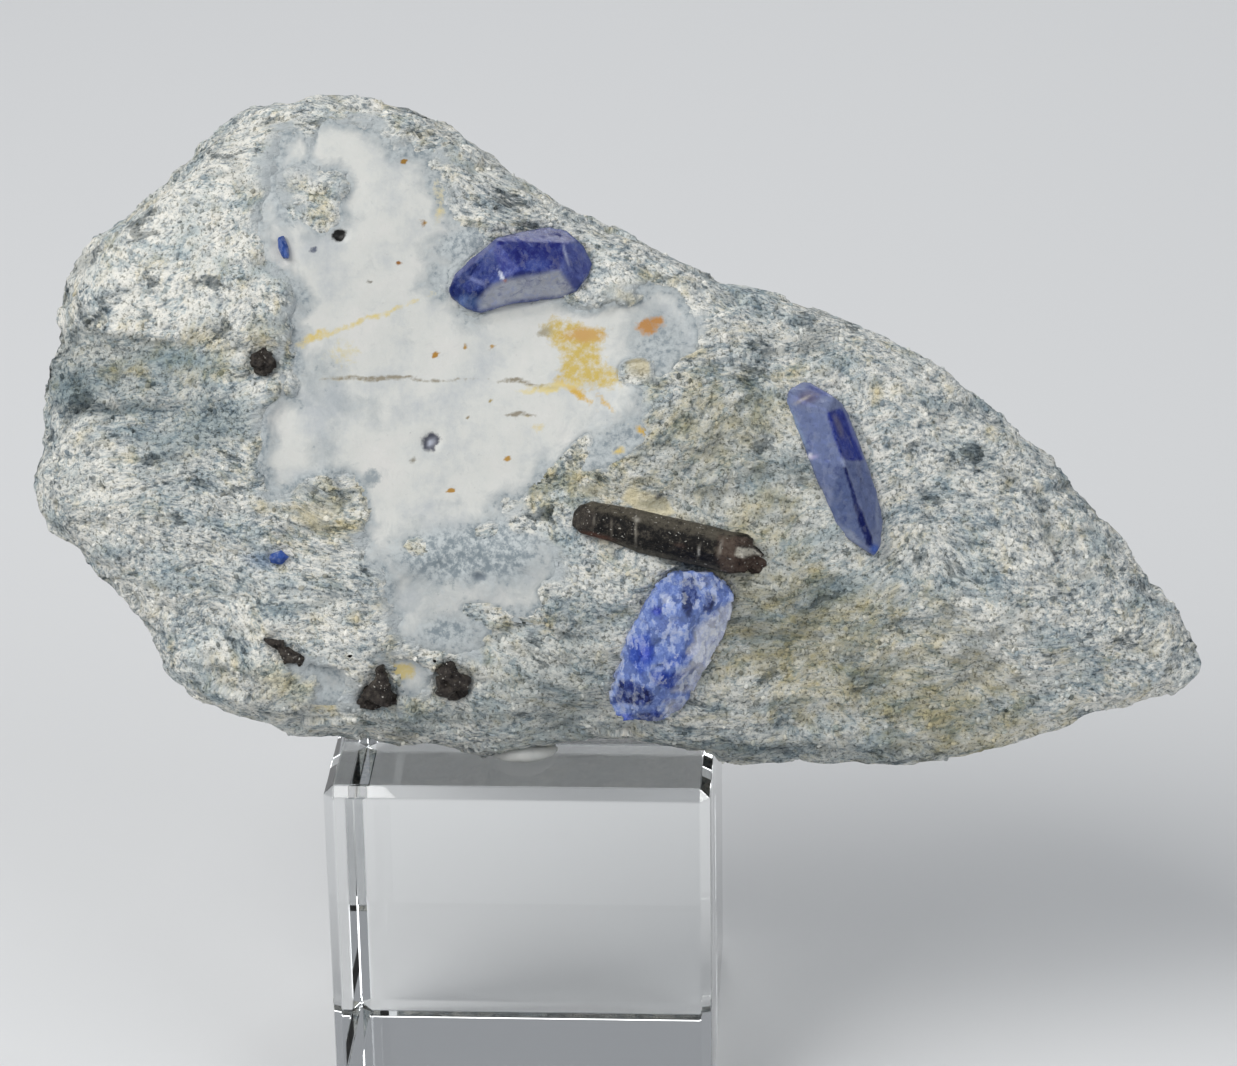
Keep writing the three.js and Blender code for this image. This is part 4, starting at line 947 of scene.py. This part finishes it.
def convex_outline(points):
    """Corners of the smallest convex outline round some points of a plane, in turn."""
    ordered = sorted({(round(x, 4), round(z, 4)) for x, z in points})
    chains = []
    for run in (ordered, ordered[::-1]):
        chain = []
        for point in run:
            while len(chain) > 1 and np.cross(np.subtract(chain[-1], chain[-2]),
                                              np.subtract(point, chain[-2])) <= 0:
                chain.pop()
            chain.append(point)
        chains.append(chain[:-1])
    return np.array(chains[0] + chains[1])


def outside_by(local, node):
    """Millimetres that points lie outside a crystal's outline on the stone's face."""
    crystal = to_stone(positions(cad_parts[node].data))
    outline = convex_outline(crystal[:, [0, 2]])
    along = np.roll(outline, -1, axis=0) - outline
    outward = np.stack([along[:, 1], -along[:, 0]], axis=1)
    outward /= np.linalg.norm(outward, axis=1)[:, None]
    reach = local[:, [0, 2]] @ outward.T - np.sum(outline * outward, axis=1)
    return reach.max(axis=1)


def stretched_over(rim, points):
    """Height, at each point, of a smooth cover stretched between some rim points."""
    apart = np.hypot(points[:, None, 0] - rim[:, 0], points[:, None, 2] - rim[:, 2])
    weight = 1 / (apart + 0.2) ** 3
    return weight @ rim[:, 1] / weight.sum(axis=1)


def fill_sockets(local, seen):
    """Closes the crystals' sockets up to their flanks, and gives the distance to the crystals."""
    nearest = np.full(len(local), FAR_OFF)
    for node in BENITOITE_NODES + NEPTUNITE_NODES:
        outside = outside_by(local, node)
        ring = seen & (outside > SOCKET_RIM) & (outside < SOCKET_RIM + RING_WIDTH)
        near_side = local[:, 1] < local[ring, 1].mean() + SOCKET_REACH
        inside = (outside < SOCKET_RIM) & near_side
        bead = ramp_up(outside, -0.9, -0.2) * (1 - ramp_up(outside, 0.2, SOCKET_RIM))
        raised = BOWL_DEPTH * ramp_up(-outside, 0.5, 1.6) - BEAD_HEIGHT * bead
        if node not in LARGE_CRYSTALS:
            raised = SMALL_SOCKET * (1 - ramp_up(outside, 0.0, SOCKET_RIM))
        floor = stretched_over(local[ring], local[inside]) + raised[inside]
        local[inside, 1] = np.minimum(local[inside, 1], floor)
        nearest = np.where(near_side, np.minimum(nearest, outside), nearest)
    return nearest


def stone_form(voxel):
    """The whole stone's surface with its pockets filled and its face finer than its back."""
    piece = welded_copy("matrix_rock", "schist_matrix")
    form = bmesh.new()
    form.from_mesh(piece.data)
    for node in POCKET_NODES:
        filler = welded_copy(node, "filler")
        grow(filler.data, POCKET_GROWTH)
        form.from_mesh(filler.data)
        bpy.data.objects.remove(filler)
    form.to_mesh(piece.data)
    form.free()
    remeshed(piece, voxel, rounds=4)
    form = bmesh.new()
    form.from_mesh(piece.data)
    seen = [e for e in form.edges if all(v.normal @ FACE_OUT > FRONT_FROM for v in e.verts)]
    bmesh.ops.subdivide_edges(form, edges=seen, cuts=1, use_grid_fill=True, smooth=0.0)
    form.to_mesh(piece.data)
    form.free()
    return piece


def pinched_faces(form):
    """Faces round the points where an open surface touches itself."""
    touching = [v for v in form.verts if sum(e.is_boundary for e in v.link_edges) > 2]
    return list({face for vert in touching for face in vert.link_faces})


def natrolite_patch(base, places, faces, name):
    """Closed sheet of natrolite that follows the stone's surface under some of its faces."""
    form = bmesh.new()
    form.from_mesh(base)
    for vert, place in zip(form.verts, places):
        vert.co = place
    keep = set(faces)
    bmesh.ops.delete(form, geom=[f for f in form.faces if f.index not in keep], context="FACES")
    while pinched := pinched_faces(form):
        bmesh.ops.delete(form, geom=pinched, context="FACES")
    grown = bmesh.ops.extrude_face_region(form, geom=form.faces[:], use_keep_orig=True)
    moved = [item for item in grown["geom"] if isinstance(item, bmesh.types.BMVert)]
    bmesh.ops.translate(form, verts=moved, vec=-FACE_OUT * SHEET_DEPTH)
    bmesh.ops.recalc_face_normals(form, faces=form.faces)
    for edge in form.edges:
        edge.smooth = edge.calc_face_angle(0) < SHARP_FROM
    mesh = bpy.data.meshes.new(name)
    form.to_mesh(mesh)
    form.free()
    return link(name, mesh)


def finish_piece(piece, material, slot, *nodes):
    """Shades a piece smooth, gives it its material and puts it in place of its CAD nodes."""
    piece.data.polygons.foreach_set("use_smooth", [True] * len(piece.data.polygons))
    piece.data.materials.clear()
    piece.data.materials.append(material)
    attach(piece, BODY)
    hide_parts(*nodes)


def make_stone(schist, natrolite):
    """Schist with natrolite sheets in it. The two dip under each other where they meet."""
    piece = stone_form(schist.voxel)
    mesh = piece.data
    local = to_stone(positions(mesh))
    to_crystal = fill_sockets(local, normals(mesh) @ np.array(FACE_OUT) > SEEN_FROM)
    set_positions(mesh, from_stone(local))
    points = positions(mesh)
    out = normals(mesh)
    facing = ramp_up(out @ np.array(FACE_OUT), 0.1, 0.6)
    depths = np.stack([distance_mm(points, node) for node in POCKET_NODES])
    own = to_stone(points)
    far = depths.min(axis=0)
    # Points on the filled pockets lie on the natrolite's own top, within its growth
    rock = distance_mm(points, "matrix_rock")
    border = np.where(far < rock, rock - BORDER_SHIFT, BORDER_SHIFT - far)

    # Where natrolite shows, where it is thin, and where it lies on the schist as a film
    ragged = fractal(own, 4.2, 131, 4, 0.62)
    inside = border + spots(own, FILM_SPOTS) + 1.3 * ragged + 0.9 * fractal(own, 1.3, 151, 3, 0.7)
    white = ramp_up(inside, -0.35, 0.35) * facing * (far < NATROLITE_REACH)
    patchy = ramp_up(fractal(own, 2.4, 51), -0.35, 0.3)
    depth = inside - 1.2 * fractal(own, 5.0, 171)
    thin = np.maximum(0.75 * (1 - ramp_up(depth, 0.2, 2.4)), spots(own, THIN_SPOTS))
    rim = (1 - ramp_up(np.abs(inside + 0.9), 0.2, 1.3)) * patchy
    film = ramp_up(inside, -2.6, -0.2) * (1 - patchy) * (far < NATROLITE_REACH)

    # Relief of the schist, calmer beside the crystals
    foliated = own * (0.65, 1.0, 1.3)
    lumps = fractal(foliated, 6.0, 3, 3, 0.6)
    grains = fractal(foliated, 1.5, 11, 2, 0.7)
    broken = chips(foliated, 4.5, 401) + 0.45 * chips(foliated, 1.7, 431)
    ledge = (own[:, 2] * 0.9 + own[:, 0] * 0.18 + 3.0 * smooth_noise(own, 16, 21)) / LEDGE_SPACING
    step = ledge - np.floor(ledge)
    ledges = np.where(step < LEDGE_SLOPE, step / LEDGE_SLOPE, (1 - step) / LEDGE_DROP) - 0.5
    calm = (1 - white) * (0.3 + 0.7 * ramp_up(to_crystal, 0.1, 1.5))
    rough = calm * (schist.lump * (lumps + 0.9 * broken) + schist.grain * grains
                    + LEDGE_HEIGHT * ledges)
    top = BAND_HIGH + BAND_SLOPE * (own[:, 0] - BAND_END) + 1.2 * ragged
    band = ramp_up(top - own[:, 2], 0, 0.6) * ramp_up(own[:, 2] - BAND_LOW - ragged, 0, 2.2) \
        * ramp_up(BAND_END - own[:, 0] + 3 * ragged, 0, 8) * facing
    pits = PIT_DEPTH * spots(own, PITS)
    crust = (1 - white) * (1 - ramp_up(-inside, 1.0, 3.5)) * facing * (far < CRUST_REACH) \
        * CRUST_RISE
    schist_places = points + out * rough[:, None] \
        + np.array(FACE_OUT) * (crust - BURIED * white - BAND_DEPTH * band - pits)[:, None]
    wave = WAVE_HEIGHT * fractal(own, 5.0, 71) - pits
    natrolite_places = points + out * wave[:, None] \
        - np.array(FACE_OUT) * (BURIED * (1 - white))[:, None]

    for name, values in {
        "thin": thin,
        "film": film * facing,
        "cream": 0.16 + 0.35 * rim * facing + 0.75 * spots(own, CREAM_SPOTS),
        "slate": spots(own, SLATE_SPOTS) * facing + 0.4 * band,
        "dull": (0.45 * spots(own, DULL_SPOTS) + 0.15 * band) * facing,
        "pale": (spots(own, PALE_SPOTS) + 0.9 * fractal(own, 10.0, 91)) * facing,
        # Painted shade where the grains and lumps dip, outside the natrolite
        "cavity_shade": 0.6 * ramp_up(-grains - 0.5 * lumps, 0.05, 0.9) * (1 - white),
        "loose": (1 - ramp_up(white, 0.0, 0.3)) * ramp_up(to_crystal, 0.1, 0.6) * facing,
    }.items():
        set_number(mesh, name, np.clip(values, 0, 1))
    set_stone_places(mesh)

    # Each face with any natrolite belongs to the nearest pocket's sheet
    corners = np.array([[*f.vertices][:3] for f in mesh.polygons])
    covered = white[corners].max(axis=1) > 0.01
    owners = depths.argmin(axis=0)[corners[:, 0]]
    white_material = natrolite_material(natrolite)
    natrolite_places = inside_box(natrolite_places, "matrix_rock")
    for index, node in enumerate(POCKET_NODES):
        faces = np.nonzero(covered & (owners == index))[0].tolist()
        patch = natrolite_patch(mesh, natrolite_places, faces, "white_" + node)
        paint(patch.data, to_stone(positions(patch.data)), NATROLITE_PAINT)
        finish_piece(patch, white_material, "natrolite", node)

    set_positions(mesh, above_block(inside_box(schist_places, "matrix_rock")))
    paint(mesh, own, SCHIST_PAINT)
    paint(mesh, own, SCHIST_TINTS, name="tint")
    finish_piece(piece, schist_material(schist), "schist", "matrix_rock")

    foot = remeshed(welded_copy("natrolite_foot", "white_foot"), natrolite.voxel, rounds=4)
    grow(foot.data, FOOT_GROWTH)
    rested = positions(foot.data)
    rested[:, 2] = np.maximum(rested[:, 2], BLOCK_HIGH.z + FOOT_GAP)
    set_positions(foot.data, rested)
    set_stone_places(foot.data)
    paint(foot.data, to_stone(rested), [])
    finish_piece(foot, white_material, "natrolite", "natrolite_foot")


def fine_crystal(node, voxel):
    """A crystal with worn edges and an even mesh fine enough to paint and chip."""
    return remeshed(welded_copy(node, "crystal_" + node), voxel, rounds=1)


def make_benitoite(settings):
    """Benitoite crystals, chipped all over, painted facet by facet where large."""
    material = benitoite_material(settings)
    for node in BENITOITE_NODES:
        piece = fine_crystal(node, settings.voxel)
        mesh = piece.data
        local = to_stone(positions(mesh))
        fracture_glints, depth = BENITOITE_GLINTS_AND_CHIPS.get(node, SPECK_GLINTS_AND_CHIPS)
        broken = chips(local, 1.5, 501) + 0.4 * chips(local, 0.7, 531) - 0.3
        moved = positions(mesh) + normals(mesh) * (depth * MM * broken)[:, None]
        set_positions(mesh, inside_box(moved, node))
        set_number(mesh, "fracture_glints", np.full(len(local), fracture_glints))
        set_stone_places(mesh)
        start, table = BENITOITE_PAINT.get(node, SPECK_PAINT)
        paint(mesh, local, table, 0.12, start)
        finish_piece(piece, material, "benitoite", node)


def make_neptunite(settings):
    """Neptunite crystals. The prism is smooth but for its right end, and the rest are splintered."""
    material = neptunite_material()
    for node in NEPTUNITE_NODES:
        piece = fine_crystal(node, settings.voxel)
        mesh = piece.data
        local = to_stone(positions(mesh))
        prism = node == "neptunite_prism"
        splintered = ramp_up(local[:, 0], *PRISM_BREAK) if prism else 1.0
        rough = MM * ((0.08 + 0.2 * splintered) * fractal(local, 1.3, 301, 3, 0.7)
                      + (0.06 + 0.6 * splintered) * chips(local * (0.5, 1, 1), 1.1, 601))
        sunk = spots(local, BREAKS) * prism
        moved = positions(mesh) + normals(mesh) * rough[:, None] \
            - np.array(FACE_OUT) * sunk[:, None] * MM
        set_positions(mesh, inside_box(moved, node))
        set_stone_places(mesh)
        paint(mesh, local, NEPTUNITE_PAINT, 0.2, "#0e0c0b" if prism else "#332e2b")
        finish_piece(piece, material, "neptunite", node)


def grain_tree():
    """Geometry nodes that strew small angular grains over a surface."""
    tree = bpy.data.node_groups.new("strewn_grains", "GeometryNodeTree")
    sockets = {}
    for name, kind in {
        "Geometry": "NodeSocketGeometry", "Grain size": "NodeSocketFloat",
        "Grains per area": "NodeSocketFloat", "Seed": "NodeSocketInt",
        "Material": "NodeSocketMaterial",
    }.items():
        sockets[name] = tree.interface.new_socket(name, in_out="INPUT", socket_type=kind)
    tree.interface.new_socket("Geometry", in_out="OUTPUT", socket_type="NodeSocketGeometry")
    given = add(tree, "NodeGroupInput").outputs
    loose = add(tree, "GeometryNodeInputNamedAttribute", {"Name": "loose"})
    density = add(tree, "ShaderNodeMath", {0: loose.outputs["Attribute"],
                                           1: given["Grains per area"]}, operation="MULTIPLY")
    strewn = add(tree, "GeometryNodeDistributePointsOnFaces", {
        "Mesh": given["Geometry"], "Density": density.outputs[0], "Seed": given["Seed"]})
    grain = add(tree, "GeometryNodeMeshIcoSphere", {"Radius": given["Grain size"],
                                                    "Subdivisions": 1})
    turned = add(tree, "FunctionNodeRandomValue", {0: (0, 0, 0), 1: FULL_TURNS,
                                                   "Seed": given["Seed"]},
                 data_type="FLOAT_VECTOR")
    sized = add(tree, "FunctionNodeRandomValue", {0: LEAST_GRAIN, 1: LARGEST_GRAIN,
                                                  "Seed": given["Seed"]},
                data_type="FLOAT_VECTOR")
    angle = add(tree, "FunctionNodeEulerToRotation", {"Euler": turned.outputs[0]})
    placed = add(tree, "GeometryNodeInstanceOnPoints", {
        "Points": strewn.outputs["Points"], "Instance": grain.outputs["Mesh"],
        "Rotation": angle.outputs[0], "Scale": sized.outputs[0]})
    real = add(tree, "GeometryNodeRealizeInstances", {"Geometry": placed.outputs[0]})
    coated = add(tree, "GeometryNodeSetMaterial", {"Geometry": real.outputs[0],
                                                   "Material": given["Material"]})
    add(tree, "NodeGroupOutput", {0: coated.outputs[0]})
    return tree, sockets


def make_grains(settings):
    """Loose grains of the schist, which take its colours where they lie."""
    schist = bpy.data.objects["schist_matrix"]
    piece = link("schist_grains", schist.data.copy())
    tree, sockets = grain_tree()
    strew = piece.modifiers.new("Grains", "NODES")
    strew.node_group = tree
    strew[sockets["Grain size"].identifier] = settings.size
    strew[sockets["Grains per area"].identifier] = 1 / settings.spacing ** 2
    strew[sockets["Seed"].identifier] = settings.seed
    strew[sockets["Material"].identifier] = schist.data.materials[0]
    bake_modifiers(piece)
    set_positions(piece.data, above_block(inside_box(positions(piece.data), "matrix_rock")))
    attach(piece, BODY)


def make_block(settings):
    """Clear block with polished bevels, each bevel's own edges softened."""
    mesh = bpy.data.meshes.new("clear_block")
    form = bmesh.new()
    bmesh.ops.create_cube(form, size=1.0)
    bmesh.ops.scale(form, vec=BLOCK_HIGH - BLOCK_LOW, verts=form.verts)
    bmesh.ops.translate(form, vec=(BLOCK_HIGH + BLOCK_LOW) / 2, verts=form.verts)
    for width, segments in ((settings.chamfer, 1), (settings.edge, 2)):
        bmesh.ops.bevel(form, geom=form.edges[:], offset=width, segments=segments,
                        affect="EDGES", profile=0.5)
    form.to_mesh(mesh)
    form.free()
    piece = link("clear_block", mesh)
    mesh.materials.append(acrylic_material())
    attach(piece, BODY)
    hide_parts("acrylic_block")


def add_light(name, place_mm, size_mm, power, colour):
    """A soft rectangular light that aims at the stone."""
    lamp = bpy.data.lights.new(name, "AREA")
    lamp.shape = "RECTANGLE"
    lamp.size = size_mm[0] * MM
    lamp.size_y = size_mm[1] * MM
    lamp.energy = power
    lamp.color = colour
    light = bpy.data.objects.new(name, lamp)
    bpy.context.scene.collection.objects.link(light)
    place = Vector(place_mm) * MM
    aimed = (Vector(LIGHT_AIM_MM) * MM - place).to_track_quat("-Z", "Y").to_matrix().to_4x4()
    light.matrix_world = Matrix.Translation(place) @ aimed


def make_stage(settings):
    """Floor, camera, lights and sky."""
    mesh = bpy.data.meshes.new("floor")
    corners = [(x * FLOOR_REACH, y * FLOOR_REACH, -FLOOR_DROP)
               for x, y in ((-1, -1), (1, -1), (1, 1), (-1, 1))]
    mesh.from_pydata(corners, [], [(0, 1, 2, 3)])
    floor = link("floor", mesh)
    mesh.materials.append(floor_material(settings.floor))

    camera = bpy.data.cameras.new("camera")
    camera.lens = LENS_MM
    camera.sensor_width = SENSOR_MM
    camera.sensor_fit = "HORIZONTAL"
    camera.clip_start = NEAREST_VIEW_MM * MM
    view = bpy.data.objects.new("camera", camera)
    bpy.context.scene.collection.objects.link(view)
    view.matrix_world = (Matrix.Translation(Vector(CAMERA_MM) * MM) @ turn("Z", CAMERA_YAW)
                         @ turn("X", 90 - CAMERA_PITCH) @ turn("Z", CAMERA_ROLL))
    bpy.context.scene.camera = view

    for name, (place, size, share, colour) in LIGHTS.items():
        add_light(name, place, size, settings.key * share, colour)
    world = bpy.data.worlds.new("studio")
    world.use_nodes = True
    sky = world.node_tree.nodes["Background"]
    sky.inputs["Color"].default_value = SKY_COLOUR
    sky.inputs["Strength"].default_value = SKY_STRENGTH
    bpy.context.scene.world = world
    bpy.context.scene.view_settings.view_transform = "Standard"


# Operators and panel


class SPECIMEN_OT_stone(bpy.types.Operator):
    """Build the schist matrix and the natrolite in it"""

    bl_idname = "specimen.stone"
    bl_label = "Schist and natrolite"

    def execute(self, context):
        make_stone(context.scene.specimen_schist, context.scene.specimen_natrolite)
        return {"FINISHED"}


class SPECIMEN_OT_grains(bpy.types.Operator):
    """Strew loose grains over the schist"""

    bl_idname = "specimen.grains"
    bl_label = "Schist grains"

    def execute(self, context):
        make_grains(context.scene.specimen_grains)
        return {"FINISHED"}


class SPECIMEN_OT_benitoite(bpy.types.Operator):
    """Build the benitoite crystals"""

    bl_idname = "specimen.benitoite"
    bl_label = "Benitoite crystals"

    def execute(self, context):
        make_benitoite(context.scene.specimen_crystals)
        return {"FINISHED"}


class SPECIMEN_OT_neptunite(bpy.types.Operator):
    """Build the neptunite crystals"""

    bl_idname = "specimen.neptunite"
    bl_label = "Neptunite crystals"

    def execute(self, context):
        make_neptunite(context.scene.specimen_crystals)
        return {"FINISHED"}


class SPECIMEN_OT_block(bpy.types.Operator):
    """Build the clear block"""

    bl_idname = "specimen.block"
    bl_label = "Clear block"

    def execute(self, context):
        make_block(context.scene.specimen_block)
        return {"FINISHED"}


class SPECIMEN_OT_stage(bpy.types.Operator):
    """Build the floor, the lights and the camera"""

    bl_idname = "specimen.stage"
    bl_label = "Stage"

    def execute(self, context):
        make_stage(context.scene.specimen_stage)
        return {"FINISHED"}


OPERATORS = [
    SPECIMEN_OT_stage, SPECIMEN_OT_stone, SPECIMEN_OT_grains, SPECIMEN_OT_benitoite,
    SPECIMEN_OT_neptunite, SPECIMEN_OT_block,
]


class SPECIMEN_PT_build(bpy.types.Panel):
    """Lists the pieces of the specimen"""

    bl_label = "Specimen"
    bl_idname = "SPECIMEN_PT_build"
    bl_space_type = "VIEW_3D"
    bl_region_type = "UI"
    bl_category = "Specimen"

    def draw(self, context):
        for operator in OPERATORS:
            self.layout.operator(operator.bl_idname)


SETTINGS = {
    "specimen_schist": SchistSettings,
    "specimen_natrolite": NatroliteSettings,
    "specimen_grains": GrainSettings,
    "specimen_crystals": CrystalSettings,
    "specimen_block": BlockSettings,
    "specimen_stage": StageSettings,
}


def register():
    for group in SETTINGS.values():
        bpy.utils.register_class(group)
    for name, group in SETTINGS.items():
        setattr(bpy.types.Scene, name, bpy.props.PointerProperty(type=group))
    for operator in OPERATORS:
        bpy.utils.register_class(operator)
    bpy.utils.register_class(SPECIMEN_PT_build)


def unregister():
    bpy.utils.unregister_class(SPECIMEN_PT_build)
    for operator in reversed(OPERATORS):
        bpy.utils.unregister_class(operator)
    for name in SETTINGS:
        delattr(bpy.types.Scene, name)
    for group in reversed(SETTINGS.values()):
        bpy.utils.unregister_class(group)


def main():
    """Builds every piece in the operators' order."""
    register()
    for operator in OPERATORS:
        family, name = operator.bl_idname.split(".")
        getattr(getattr(bpy.ops, family), name)()


if __name__ == "__main__":
    main()
